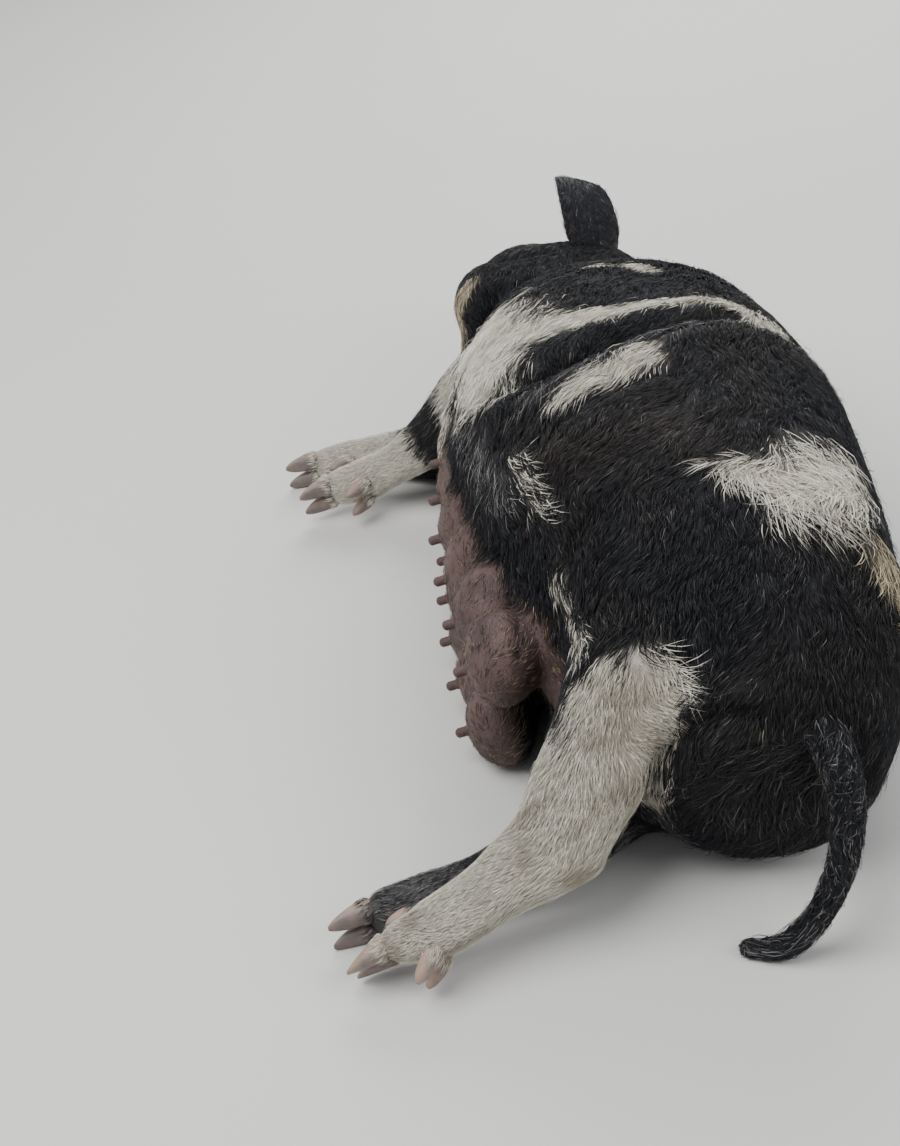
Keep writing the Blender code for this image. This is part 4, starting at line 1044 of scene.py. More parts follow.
def crease(places, normals, tree, folds):
    """Presses folds into places, each with a soft ridge along both sides."""
    for path, depth, width in folds:
        points = [tree.find_nearest(point)[0] for point in path]
        distance, share, _ = off_path(places, points)
        fade = np.clip(np.minimum(share, 1 - share) * 5, 0, 1)
        groove = np.exp(-((distance / width) ** 2))
        ridge = FOLD_RIDGE * np.exp(-(((distance - 2 * width) / width) ** 2))
        places += normals * (depth * fade * (ridge - groove))[:, None]


def face_folds(tree):
    """The folds of both sides of the head, and the wrinkles across its nose, laid on its skin."""
    for path, depth, width in HEAD_FOLDS:
        for side in (1, -1):
            way = head_way(0, 0, side)
            yield [tree.ray_cast(in_head(f, u, 0) + way * 0.4, -way)[0] for f, u in path], depth, width
    for forward in NOSE_WRINKLES:
        path = []
        for angle in (-60, -30, 0, 30, 60):
            way = head_way(0, math.cos(math.radians(angle)), math.sin(math.radians(angle)))
            bend = 0.006 * math.cos(math.radians(2 * angle))
            path.append(tree.ray_cast(in_head(forward + bend, 0, 0) + way * 0.3, -way)[0])
        yield path, 0.0028, 0.0045


def refine(obj, wanted):
    """Halves the faces whose middle the test wants, and evens them out."""
    shape = bmesh.new()
    shape.from_mesh(obj.data)
    centres = np.array([face.calc_center_median()[:] for face in shape.faces])
    chosen = np.nonzero(wanted(centres))[0]
    shape.faces.ensure_lookup_table()
    edges = {edge for i in chosen for edge in shape.faces[i].edges}
    bmesh.ops.subdivide_edges(shape, edges=list(edges), cuts=1, use_grid_fill=True)
    centres = np.array([vert.co[:] for vert in shape.verts])
    close = np.nonzero(wanted(centres))[0]
    shape.verts.ensure_lookup_table()
    verts = [shape.verts[i] for i in close]
    for _ in range(3):
        bmesh.ops.smooth_vert(
            shape, verts=verts, factor=0.5, use_axis_x=True, use_axis_y=True, use_axis_z=True
        )
    shape.to_mesh(obj.data)
    shape.free()


def fine_place(points):
    """Where the skin is bare or short coated and needs a finer mesh: the face and the udder."""
    return (forward_of(points) > -0.06) | (udder_share(points) > 0.35)


class Surface:
    """A mesh that tufts grow on and lie along."""

    def __init__(self, obj):
        mesh = obj.data
        mesh.calc_loop_triangles()
        faces = np.empty(len(mesh.loop_triangles) * 3, np.int32)
        mesh.loop_triangles.foreach_get("vertices", faces)
        self.faces = faces.reshape(-1, 3)
        self.places, self.normals = places_of(mesh)
        self.slopes = unit(self.normals[self.faces].mean(axis=1))
        self.tree = BVHTree.FromPolygons(self.places.tolist(), self.faces.tolist(), all_triangles=True)

    def nearest(self, points):
        """The surface's nearest places to points, its slopes there, and the faces."""
        found = [self.tree.find_nearest(point) for point in points.tolist()]
        places = np.array([hit[0][:] for hit in found])
        index = np.array([hit[2] for hit in found])
        return places, self.slopes[index], index

    def scatter(self, count, density, rng):
        """Random places on the surface, denser where the density is higher."""
        corners = self.places[self.faces]
        centres = corners.mean(axis=1)
        crossed = np.cross(corners[:, 1] - corners[:, 0], corners[:, 2] - corners[:, 0])
        weights = np.linalg.norm(crossed, axis=1) * density(centres, self.slopes)
        chosen = rng.choice(len(self.faces), count, p=weights / weights.sum())
        a, b = rng.random((2, count))
        over = a + b > 1
        a[over], b[over] = 1 - a[over], 1 - b[over]
        picked = corners[chosen]
        first, second = picked[:, 1] - picked[:, 0], picked[:, 2] - picked[:, 0]
        roots = picked[:, 0] + a[:, None] * first + b[:, None] * second
        return roots, self.slopes[chosen]


SURFACES = {}


def surface(name):
    """The surface of a piece, measured once."""
    if name not in SURFACES:
        SURFACES[name] = Surface(bpy.data.objects[name])
    return SURFACES[name]


PLACED = {}


def place_zones(tree):
    """Lays the path of each zone on the skin."""
    for name, zone in ZONES.items():
        path = tuple((*tree.find_nearest(place[:3])[0], place[3]) for place in zone.path)
        PLACED[name] = zone._replace(path=path)


def zone_share(points, path, ragged=0.7, soft=1.25, grown=1.0):
    """1 inside a zone and 0 outside it, with a soft, ragged edge."""
    distance, _, half = off_path(points, path)
    noise = 0.6 * cloud(points, 0.011, 3) + 0.4 * cloud(points, 0.028, 4) - 0.5
    edge = 1 - distance / (half * grown) + ragged * noise
    return np.clip(0.5 + soft * edge, 0, 1)


def blend_in(old, new, share):
    """Values moved towards new ones by a share."""
    share = share if np.ndim(old) == 1 else share[:, None]
    return old + (np.asarray(new) - old) * share


def markings(points):
    """How white, pale, cream and grey the coat is, place by place, and how much of it is the white leg's."""
    shares = {word: np.zeros(len(points)) for word in ("white", "pale", "cream", "grey")}
    for zone in PLACED.values():
        if zone.tone:
            shares[zone.tone] = np.maximum(shares[zone.tone], zone_share(points, zone.path))
    inside, along, _ = leg_share(points, LEGS["hind_left"])
    white_leg = np.maximum(zone_share(points, WHITE_THIGH, 0.4), inside * smooth(along, 2.0, 2.4))
    shares["white"] = np.maximum(shares["white"], white_leg)
    inside, along, _ = leg_share(points, LEGS["hind_right"])
    shares["grey"] = np.maximum(shares["grey"], inside * smooth(along, 4.0, 4.9) * 0.9)
    for name in ("fore_left", "fore_right"):
        inside, along, _ = leg_share(points, LEGS[name])
        shares["white"] = np.maximum(shares["white"], inside * smooth(along, 2.7, 3.3))
    return shares, white_leg


def coat_at(points, slopes):
    """The coat's length, curl, height and lie at each place."""
    count = len(points)
    length, curl = np.full(count, HAIR_LENGTH), np.full(count, HAIR_CURL)
    lift = np.full(count, HAIR_LIFT)
    back = smooth(points[:, 0], 0.05, 0.20)
    rear = smooth(-points[:, 1], 0.40, 0.55)
    lie = np.stack([-0.42 + 0.44 * back, -0.88 + 0.3 * rear, -0.18 - 0.25 * back - 0.45 * rear], axis=1)
    total = np.ones(count)
    for place, reach, way in LIES.values():
        pull = LIE_STRENGTH * np.exp(-dot(points - place, points - place) / reach**2)
        lie += pull[:, None] * unit(np.array(way))
        total += pull
    lie /= total[:, None]
    for zone in PLACED.values():
        share = zone_share(points, zone.path, 0.3, 1.6, 1.15)
        length = blend_in(length, zone.length, share)
        curl = blend_in(curl, zone.curl, share)
        lift = blend_in(lift, zone.lift, share)
        lie = blend_in(lie, unit(np.array(zone.lie)), share)
    forward = forward_of(points)
    face = smooth(forward, -0.14, -0.02)
    head_lie = np.array(head_way(-0.92, -0.30, 0.0))
    length = blend_in(length, 0.022 - 0.014 * smooth(forward, -0.06, 0.12), face)
    lift = blend_in(lift, 0.0032 - 0.0016 * smooth(forward, -0.02, 0.12), face)
    lie = blend_in(lie, head_lie, face)
    fringe = PLACED["jowl"]
    jowl = zone_share(points, fringe.path, 0.3, 1.6, 1.2)
    length = blend_in(length, fringe.length, jowl)
    lie = blend_in(lie, unit(np.array(fringe.lie)), jowl)
    for name, leg in LEGS.items():
        inside, along, ways = leg_share(points, leg)
        reach = smooth(along, 1.6, 4.6)
        length = blend_in(length, 0.030 - 0.018 * reach, inside)
        lift = blend_in(lift, 0.0050 - 0.0026 * reach, inside)
        curl = blend_in(curl, 0.10, inside)
        own = inside * (smooth(along, 2.0, 2.7) if name == "hind_left" else 1.0)
        lie = blend_in(lie, ways, own)
    bare = udder_share(points)
    length = blend_in(length, 0.012, bare)
    lift = blend_in(lift, 0.0020, bare)
    lie = lie - slopes * dot(lie, slopes)[:, None]
    return length, curl, lift, unit(lie)


def skin_tones(points, tones):
    """The skin's colour at each place: its own, with painted shade darkening the udder and groin."""
    shares, _ = markings(points)
    inside, along, _ = leg_share(points, LEGS["hind_left"])
    white = shares["white"] * (1 - 0.45 * inside * smooth(along, 2.8, 4.0))
    pale = np.maximum(white, 0.8 * np.maximum(shares["cream"], 0.6 * shares["pale"]))
    colour = blend_in(np.tile(np.array(tones.skin_dark), (len(points), 1)), np.array(tones.skin_pale), pale)
    colour = blend_in(colour, 0.35 * np.array(tones.grey) + 0.65 * np.array(tones.skin_dark), shares["grey"])
    mottled = 0.45 + 0.80 * cloud(points, 0.026, 8) + 0.35 * cloud(points, 0.010, 18)
    # The udder and the groin take the udder's tone, which holds painted shade.
    colour = blend_in(colour, np.array(tones.udder) * mottled[:, None], udder_share(points))
    snout = smooth(forward_of(points), 0.105, 0.135)
    return blend_in(colour, np.array(tones.snout), snout * 0.8)


def make_skin(sizes, tones):
    """One skin over the trunk, head and legs, fused, creased and set in by the coat's depth."""
    shape = bmesh.new()
    trunk(shape)
    head_masses(shape)
    for leg in LEGS.values():
        leg_masses(shape, leg)
    for place in gland_places():
        ellipsoid(shape, Matrix.Translation(place), GLAND_HALF_SIZES)
    skin = mesh_object("skin", shape)
    remesh = skin.modifiers.new("fuse", "REMESH")
    remesh.mode = "VOXEL"
    remesh.voxel_size = sizes.grain
    soften = skin.modifiers.new("blend", "SMOOTH")
    soften.factor = 0.5
    soften.iterations = round(sizes.blend / sizes.grain**2)
    settle(skin)
    refine(skin, fine_place)
    tree = Surface(skin).tree
    place_zones(tree)
    places, normals = places_of(skin.data)
    crease(places, normals, tree, BODY_FOLDS)
    crease(places, normals, tree, face_folds(tree))
    places -= normals * coat_depth(places, sizes)[:, None]
    uneven = (cloud(places, 0.030, 1) - 0.5) * 0.003 * (1 - smooth(forward_of(places), -0.1, 0))
    places += normals * uneven[:, None]
    snout_plane = forward_of(places) - (SNOUT_START + 0.002)
    places -= np.maximum(snout_plane, 0)[:, None] * np.array(HEAD_FORWARD)
    places[:, 2] = np.maximum(places[:, 2], sizes.rest)
    move_points(skin.data, places)
    skin.data.shade_smooth()
    paint(skin.data, skin_tones(places, tones))
    return skin


FLESH = ["neck", "chest", "barrel", "rump", "udder", "head"]
FLESH += [f"{leg}_{part}" for leg in LEGS for part in LEG_PARTS[leg.split("_")[0]]]


class SOW_OT_skin(bpy.types.Operator):
    """One skin over the trunk, head and legs"""

    bl_idname = "sow.skin"
    bl_label = "Skin"

    def execute(self, context):
        sizes, _, tones, _ = settings(context)
        skin = make_skin(sizes, tones)
        finish_piece(skin, material("sow_skin", skin_finish), "dark_coat", *FLESH)
        return {"FINISHED"}


class SOW_OT_teats(bpy.types.Operator):
    """A wrinkled teat on each gland"""

    bl_idname = "sow.teats"
    bl_label = "Teats"

    def execute(self, context):
        tones = settings(context)[2]
        skin = surface("skin")
        shape = bmesh.new()
        for place in gland_places():
            way = Vector(TEAT_WAY).normalized()
            start = skin.tree.ray_cast(place + way * 0.2, -way)[0]
            side = way.cross(Vector((0, 0, 1))).normalized()
            up = side.cross(way)
            rings = []
            for i, share in enumerate(np.linspace(-0.45, 1.0, 16)):
                flare = 1.0 + 0.75 * smooth(-share, -0.15, 0.45)
                tip = math.sqrt(max(0.0, 1 - max(0.0, (share - 0.72) / 0.30) ** 2))
                wrinkle = 1 + 0.05 * (-1) ** i * (0.0 < share < 0.85)
                radius = TEAT_RADIUS * flare * tip * wrinkle * 0.92
                rings.append(oval(start + way * TEAT_LENGTH * share, side, up, radius, radius, count=16))
            skin_over(shape, rings)
        teats = mesh_object("teats", shape)
        places, _ = places_of(teats.data)
        shade = 0.85 + 0.4 * cloud(places, 0.006, 2)
        # The teats take the udder's tone, darkened as painted shade under her belly.
        paint(teats.data, np.array(tones.udder) * shade[:, None] * 1.05)
        finish_piece(teats, material("sow_skin", skin_finish), "udder_skin")
        return {"FINISHED"}


# How far the snout's disc stands forward and its share of the full size, from its back edge to its middle.
SNOUT_STATIONS = (
    (0.000, 0.90), (0.003, 1.00), (0.0095, 1.005), (0.0138, 0.96), (0.0150, 0.86), (0.0138, 0.72),
    (0.0130, 0.50), (0.0128, 0.25), (0.0126, 0.02),
)
SNOUT_STEPS = 200


def snout_profile(share):
    """How far the disc stands forward, and its share of the full size, from its back edge to its middle."""
    return spline(SNOUT_STATIONS, SNOUT_STEPS)[int(share * (SNOUT_STEPS - 1))]


class SOW_OT_snout(bpy.types.Operator):
    """The flat snout disc with its rim and two deep nostrils"""

    bl_idname = "sow.snout"
    bl_label = "Snout"

    def execute(self, context):
        tones = settings(context)[2]
        across, up = head_way(0, 0, 1), head_way(0, 1, 0)
        shape = bmesh.new()
        rings = []
        for share in np.linspace(0, 1, 56):
            depth, size = snout_profile(share)
            centre = in_head(SNOUT_START + depth, SNOUT_RISE, 0)
            half_across, half_up = SNOUT_HALF_BREADTH * size, SNOUT_HALF_HEIGHT * size
            rings.append(oval(centre, across, up, half_across, half_up, 2.3, 72))
        skin_over(shape, rings)
        snout = mesh_object("snout_disc", shape)
        places, _ = places_of(snout.data)
        local = np.array([tuple(HEAD.inverted() @ Vector(place)) for place in places])
        front = smooth(local[:, 0], SNOUT_START + 0.008, SNOUT_START + 0.0125)
        push = np.zeros(len(places))
        dark = np.zeros(len(places))
        for side in (1, -1):
            aside = local[:, 2] * side - NOSTRIL_PLACE[1]
            rise = (local[:, 1] - NOSTRIL_PLACE[0] - 0.25 * np.abs(aside)) / NOSTRIL_HALF_SIZES[0]
            spread = aside / NOSTRIL_HALF_SIZES[1]
            away = np.hypot(rise, spread)
            rim = 0.0016 * np.exp(-(((away - 1.25) / 0.35) ** 2))
            push += front * (rim - 0.0125 * smooth(1.08 - away, 0, 0.55))
            # The nostrils' insides are painted nearly black: painted shade in their deep holes.
            dark = np.maximum(dark, front * smooth(1.12 - away, 0, 0.6))
        groove = np.exp(-((local[:, 2] / 0.0022) ** 2)) * smooth(-local[:, 1], 0.004, 0.020)
        push -= 0.0016 * front * groove
        push += 0.0007 * (cloud(places, 0.004, 4) - 0.5)
        places += push[:, None] * np.array(HEAD_FORWARD)
        move_points(snout.data, places)
        patch = smooth(cloud(places, 0.020, 6), 0.45, 0.75)[:, None]
        colour = np.array(tones.snout) * (1 + 0.8 * patch * np.array((1.15, 0.85, 0.80)))
        paint(snout.data, colour * (1 - 0.9 * dark[:, None]))
        finish_piece(snout, material("sow_snout", snout_finish), "snout_skin", "snout")
        return {"FINISHED"}


def eye_frame(side):
    """The middle of an eyeball, and its forward, up and outward ways."""
    low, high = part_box("eye_left" if side > 0 else "eye_right")
    centre = (Vector(low) + Vector(high)) / 2
    out = head_way(0.30, 0.10, side)
    forward = head_way(1, -0.25, 0)
    forward = (forward - out * forward.dot(out)).normalized()
    up = head_way(0, 1, 0)
    up = (up - out * up.dot(out) - forward * up.dot(forward)).normalized()
    return centre, forward, up, out


LID_REACH = math.radians(80)
LID_LIFTS = {"upper": 0.16, "lower": -0.20}


def lid_place(side, word, a, b, stand=0.0):
    """A place on a lid: a from corner to corner, and b from its root to its edge."""
    centre, forward, up, out = eye_frame(side)
    edge = LID_LIFTS[word] * (1 - a * a) + 0.04 * a
    root = math.copysign(LID_REACH, LID_LIFTS[word])
    tilt = root + (edge - root) * b
    turn = LID_REACH * 1.02 * a
    reach = EYE_RADIUS + 0.0028 - 0.0010 * b + stand
    reach += 0.0005 * math.sin(b * 16.0) * (1 - b) * b * 4
    way = forward * (math.sin(turn) * math.cos(tilt) * 1.22)
    way += out * math.cos(turn) * math.cos(tilt) + up * math.sin(tilt) * 1.05
    return centre + way * reach


class SOW_OT_eyes(bpy.types.Operator):
    """Eyeballs under heavy, nearly closed lids"""

    bl_idname = "sow.eyes"
    bl_label = "Eyes"

    def execute(self, context):
        tones = settings(context)[2]
        for side, word in ((1, "left"), (-1, "right")):
            centre, forward, up, out = eye_frame(side)
            turned = Matrix((forward, up, out)).transposed().to_4x4()
            shape = bmesh.new()
            ellipsoid(shape, Matrix.Translation(centre) @ turned, (EYE_RADIUS - 0.0001,) * 3, 48)
            ball = mesh_object(f"eyeball_{word}", shape)
            places, _ = places_of(ball.data)
            facing = unit(places - np.array(centre)) @ np.array(out)
            colour = np.tile(np.array((0.16, 0.11, 0.09)), (len(places), 1))
            colour = blend_in(colour, np.array(tones.iris), smooth(facing, 0.72, 0.80))
            colour = blend_in(colour, np.array((0.004, 0.003, 0.003)), smooth(facing, 0.91, 0.93))
            paint(ball.data, colour)
            finish_piece(ball, material("sow_eye", eye_finish), "eye", f"eye_{word}")
            shape = bmesh.new()
            for lid in LID_LIFTS:
                self.add_lid(shape, side, lid)
            lids = mesh_object(f"lids_{word}", shape)
            places, _ = places_of(lids.data)
            shade = 0.9 + 0.5 * cloud(places, 0.004, 2)
            # The lids are painted a quarter darker than her other dark skin: painted shade, since their faces
            # turn up towards the light.
            paint(lids.data, np.array(tones.skin_dark) * 0.75 * shade[:, None])
            finish_piece(lids, material("sow_skin", skin_finish), "dark_coat")
        return {"FINISHED"}

    def add_lid(self, shape, side, lid):
        """One lid as a thick shell with a rolled edge."""
        rows = []
        for b in np.linspace(0, 1, 14):
            rows.append([lid_place(side, lid, a, b) for a in np.linspace(-1, 1, 25)])
        rows.append([lid_place(side, lid, a, 1.02, -0.0008) for a in np.linspace(-1, 1, 25)])
        rows.append([lid_place(side, lid, a, 0.98, -0.0016) for a in np.linspace(-1, 1, 25)])
        for b in np.linspace(0.8, 0, 5):
            rows.append([lid_place(side, lid, a, b, -0.0016) for a in np.linspace(-1, 1, 25)])
        verts = [[shape.verts.new(place) for place in row] for row in rows]
        count = len(verts)
        for i in range(count):
            near, far = verts[i], verts[(i + 1) % count]
            for j in range(len(near) - 1):
                shape.faces.new((near[j], near[j + 1], far[j + 1], far[j]))
        for j in (0, -1):
            shape.faces.new([row[j] for row in verts])


def ear_frame(name):
    """An ear's root, and the ways along it, to its outer edge and to its back."""
    ear = EARS[name]
    root = in_head(*ear["root"])
    along = head_way(*ear["along"])
    outer = head_way(*ear["outer"])
    outer = (outer - along * outer.dot(along)).normalized()
    back = along.cross(outer).normalized()
    if back.dot(head_way(-1, 0, 0) if name == "ear_left" else Vector((0, 0, -1))) < 0:
        back = -back
    return root, along, outer, back


class SOW_OT_ears(bpy.types.Operator):
    """Cupped ears with thin rims and soft, bent tips"""

    bl_idname = "sow.ears"
    bl_label = "Ears"

    def execute(self, context):
        tones = settings(context)[2]
        for name in EARS:
            root, along, outer, back = ear_frame(name)
            rings = []
            for i, (share, half, cup, bend, shift) in enumerate(spline(EAR_STATIONS, 54)):
                centre = root + along * EAR_LENGTH * share + outer * shift - back * bend
                outside, inside = [], []
                for s in np.sin(np.linspace(-math.pi / 2, math.pi / 2, 27)):
                    wave = 0.0012 * math.sin(9 * share + 3 * s) * abs(s) ** 3
                    place = centre + outer * half * s - back * (cup * s * s + wave)
                    thin_tip = 0.55 + 0.45 * min(1.0, (1.02 - share) * 4)
                    thick = EAR_THICKNESS * (1 - 0.70 * abs(s) ** 3) * thin_tip
                    rib = 0.0006 * math.sin(s * 9) * (1 - s * s)
                    outside.append(place)
                    inside.append(place - back * (thick + rib) - outer * (0.10 * s * EAR_THICKNESS))
                rings.append(outside + inside[::-1])
            shape = bmesh.new()
            skin_over(shape, rings)
            ear = mesh_object(f"{name}_skin", shape)
            places, _ = places_of(ear.data)
            inner = ((places - np.array(root)) @ np.array(-back))
            rise = (places - np.array(root)) @ np.array(along) / EAR_LENGTH
            colour = np.tile(np.array(tones.skin_dark) * 1.3, (len(places), 1))
            flesh = smooth(inner, 0.004, 0.016) * (0.5 + 0.5 * cloud(places, 0.02, 7))
            colour = blend_in(colour, np.array(tones.ear), flesh * smooth(0.75 - rise, 0, 0.5))
            colour = blend_in(colour, 1.3 * np.array(tones.ear), smooth(0.16 - rise, 0, 0.16) * 0.7)
            paint(ear.data, colour)
            finish_piece(ear, material("sow_skin", skin_finish), "dark_coat", name)
        return {"FINISHED"}


def tassel_way():
    """The way that the tassels hang."""
    return (head_way(-0.15, -1.0, 0.0) + Vector((0, 0, -0.60))).normalized()


class SOW_OT_tassels(bpy.types.Operator):
    """The two hairy drops of skin under the jaw"""

    bl_idname = "sow.tassels"
    bl_label = "Tassels"

    def execute(self, context):
        tones = settings(context)[2]
        for name, place in TASSELS.items():
            root = in_head(*place)
            way = tassel_way()
            stations = spline(((-0.25, 0.55), (0.1, 0.60), (0.45, 0.85), (0.75, 1.00), (0.92, 0.80)), 20)
            points = [root + way * TASSEL_LENGTH * share for share, _ in stations]
            radii = [TASSEL_RADIUS * size * 0.86 for _, size in stations]
            shape = bmesh.new()
            tube(shape, points, radii, radii, Vector((0, 0, 1)), count=18)
            tassel = mesh_object(f"{name}_skin", shape)
            places, _ = places_of(tassel.data)
            shade = 0.8 + 0.5 * cloud(places, 0.006, 2)
            paint(tassel.data, np.array(tones.skin_dark) * 1.8 * shade[:, None])
            finish_piece(tassel, material("sow_skin", skin_finish), "dark_coat", name)
        return {"FINISHED"}


class SOW_OT_tail(bpy.types.Operator):
    """The tail from the rump to the floor"""

    bl_idname = "sow.tail"
    bl_label = "Tail"

    def execute(self, context):
        sizes, _, tones, _ = settings(context)
        stations = spline([(*place, radius) for place, radius in zip(TAIL_PATH, TAIL_RADII)], 60)
        radii = stations[:, 3] * 0.86
        shape = bmesh.new()
        tube(shape, stations[:, :3].tolist(), radii, radii, Vector((1, 0, 0.3)), count=20)
        tail = mesh_object("tail_skin", shape)
        places, _ = places_of(tail.data)
        places[:, 2] = np.maximum(places[:, 2], sizes.rest)
        move_points(tail.data, places)
        paint(tail.data, np.tile(np.array(tones.skin_dark) * 1.3, (len(places), 1)))
        finish_piece(tail, material("sow_skin", skin_finish), "dark_coat", "tail", "tail_tuft")
        return {"FINISHED"}


def claw_rings(root, down, front, upper):
    """A claw with a sloping front, a flat sole, growth ridges and a point at its sole."""
    stations = spline(CLAW_STATIONS, 60)
    for share in np.linspace(0, 1, 30):
        ridge = 1 + 0.010 * math.sin(share * 42) * (1 - share)
        top = CLAW_HALF_HEIGHT * (1 - CLAW_FALL * share**CLAW_BEND) * ridge
        sole = -CLAW_HALF_HEIGHT * (CLAW_SOLE[0] - CLAW_SOLE[1] * share)
        top = max(top, sole + CLAW_EDGE)
        centre = root + down * CLAW_LENGTH * share + front * (top + sole) / 2
        tuck = 1 - HORN_TUCK * smooth(0.15 - share, 0, 0.15)
        half = CLAW_HALF_BREADTH * np.interp(share, stations[:, 0], stations[:, 1]) * ridge * tuck
        yield share, oval(centre, upper, front, half, (top - sole) / 2 * tuck, 2.4, 28)


def dewclaw_rings(root, way, upper):
    """A small blunt claw behind the foot."""
    front = way.cross(upper).normalized()
    stations = spline(DEWCLAW_STATIONS, 40)
    for share in np.linspace(0, 1, 20):
        half = DEWCLAW_HALF * np.interp(share, stations[:, 0], stations[:, 1])
        half *= 1 + 0.012 * math.sin(share * 36)
        half *= 1 - HORN_TUCK * smooth(0.30 - share, 0, 0.30)
        yield share, oval(root + way * DEWCLAW_LENGTH * share, upper, front, half * 0.85, half, 2.0, 20)


def horn_pieces(leg):
    """The rings of each claw and dewclaw of a foot, by name."""
    ankle, down, front, upper = foot_frame(leg)
    along, ahead, aside = leg["dewclaws"]
    for side, word in ((1, "outer"), (-1, "inner")):
        splay = (down + upper * side * CLAW_SPLAY).normalized()
        root = ankle + upper * side * TOE_SPREAD
        yield "claw_" + word, claw_rings(root + down * CLAW_START, splay, front, upper)
        way = (down * along + front * ahead + upper * side * aside).normalized()
        yield "dewclaw_" + word, dewclaw_rings(root - front * SPUR_REACH, way, upper)


# How pale each foot's horn is, from grey to pink cream: the upper and lower claws, and the dewclaws.
HORN_TONES = {
    "hind_left": (0.85, 0.50, 0.95),
    "hind_right": (0.55, 0.10, 0.75),
    "fore_left": (0.60, 0.45, 0.60),
    "fore_right": (0.50, 0.30, 0.50),
}


class SOW_OT_claws(bpy.types.Operator):
    """Ridged horn claws and dewclaws"""

    bl_idname = "sow.claws"
    bl_label = "Claws"

    def execute(self, context):
        sizes, _, tones, _ = settings(context)
        for name, leg in LEGS.items():
            for word, rings in horn_pieces(leg):
                rings = list(rings)
                shape = bmesh.new()
                skin_over(shape, [ring for _, ring in rings])
                claw = mesh_object(f"horn_{name}_{word}", shape)
                places, _ = places_of(claw.data)
                share = np.repeat([share for share, _ in rings], len(rings[0][1]))
                pale = HORN_TONES[name][2 if "dew" in word else "outer" not in word]
                middle = np.repeat([np.mean(ring, axis=0) for _, ring in rings], len(rings[0][1]), axis=0)
                high = dot(places - middle, np.array(foot_frame(leg)[2]))
                pale = pale * (0.12 + 0.88 * smooth(high, -0.008, 0.001))
                pale = pale + 0.60 * (cloud(places, 0.011, 5) - 0.5) + 0.04 * np.sin(share * 30)
                dark, light = np.array(tones.horn_dark), np.array(tones.horn_pale)
                colour = blend_in(np.tile(dark, (len(places), 1)), light, np.clip(pale, 0, 1))
                paint(claw.data, colour * (1 - 0.20 * smooth(share, 0.80, 1.0))[:, None])
                places[:, 2] = np.maximum(places[:, 2], sizes.rest)
                move_points(claw.data, places)
                finish_piece(claw, material("sow_horn", horn_finish), "horn", f"{name}_{word}")
        return {"FINISHED"}


class Flat:
    """A light copy of the skins laid out flat, where each tuft finds its place on the map."""

    def __init__(self, names, faces=7000):
        shape = bmesh.new()
        for name in names:
            shape.from_mesh(bpy.data.objects[name].data)
        copy = mesh_object("laid_flat", shape)
        thin = copy.modifiers.new("thin", "DECIMATE")
        thin.ratio = faces / (2 * len(copy.data.polygons))
        settle(copy)
        bpy.ops.object.select_all(action="DESELECT")
        bpy.context.view_layer.objects.active = copy
        copy.select_set(True)
        bpy.ops.object.mode_set(mode="EDIT")
        bpy.ops.mesh.select_all(action="SELECT")
        bpy.ops.uv.smart_project(angle_limit=math.radians(66), island_margin=0.003)
        bpy.ops.object.mode_set(mode="OBJECT")
        mesh = copy.data
        mesh.calc_loop_triangles()
        loops = np.empty(len(mesh.loop_triangles) * 3, np.int32)
        mesh.loop_triangles.foreach_get("loops", loops)
        spots = np.empty(len(mesh.loops) * 2)
        mesh.uv_layers.active.data.foreach_get("uv", spots)
        self.spots = spots.reshape(-1, 2)[loops.reshape(-1, 3)]
        self.surface = Surface(copy)
        bpy.data.objects.remove(copy)

    def spots_of(self, points):
        """Where places of the skin lie on the map."""
        places, _, index = self.surface.nearest(points)
        corners = self.surface.places[self.surface.faces[index]]
        first, second = corners[:, 1] - corners[:, 0], corners[:, 2] - corners[:, 0]
        offset = places - corners[:, 0]
        aa, ab, bb = dot(first, first), dot(first, second), dot(second, second)
        pa, pb = dot(offset, first), dot(offset, second)
        below = np.maximum(aa * bb - ab * ab, TINY**2)
        u, v = (bb * pa - ab * pb) / below, (aa * pb - ab * pa) / below
        weights = np.clip(np.stack([1 - u - v, u, v], axis=1), 0, 1)
        return np.einsum("nk,nkc->nc", weights / weights.sum(axis=1, keepdims=True), self.spots[index])


# Short and long tufts: the share along one and its share of the full height there; how long a long one is.
SHORT = ((0.0, 0.0), (0.42, 0.75), (1.0, 0.95))
LONG = ((0.0, 0.0), (0.30, 0.62), (0.68, 1.0), (1.0, 0.80))
LONG_FROM = 0.044
STRAW_SHARE = 0.002
ROOT_SINK = 0.0012
PATCH = 0.0015
# Hair round the claws' roots, on the ears, the tail and the tassels, and the stations of a lash.
CORONET = 0.014
CORONET_LENGTH = 0.0155
CORONET_HAIRS = 240
EAR_HAIRS = 6400
TAIL_HAIRS = (("tail", 6400, 0.044), ("tassel_left", 700, 0.014), ("tassel_right", 700, 0.014))
LASH_SHARES = (0, 0.35, 0.7, 1)


def lay(skin, roots, slopes, looks, stations):
    """The places along each tuft, and the way up from the skin at each."""
    places, ups = [roots - slopes * ROOT_SINK], [slopes]
    here, up, way, before = roots, slopes, looks["lie"], 0.0
    for share, height in stations[1:]:
        step = share - before
        before = share
        way = unit(way - up * dot(way, up)[:, None])
        turn = (looks["curl"] * step)[:, None]
        way = way * np.cos(turn) + np.cross(up, way) * np.sin(turn)
        here, near, _ = skin.nearest(here + way * (looks["length"] * step)[:, None])
        up = unit(up + near)
        places.append(here + up * (looks["lift"] * height)[:, None])
        ups.append(up)
    return places, ups


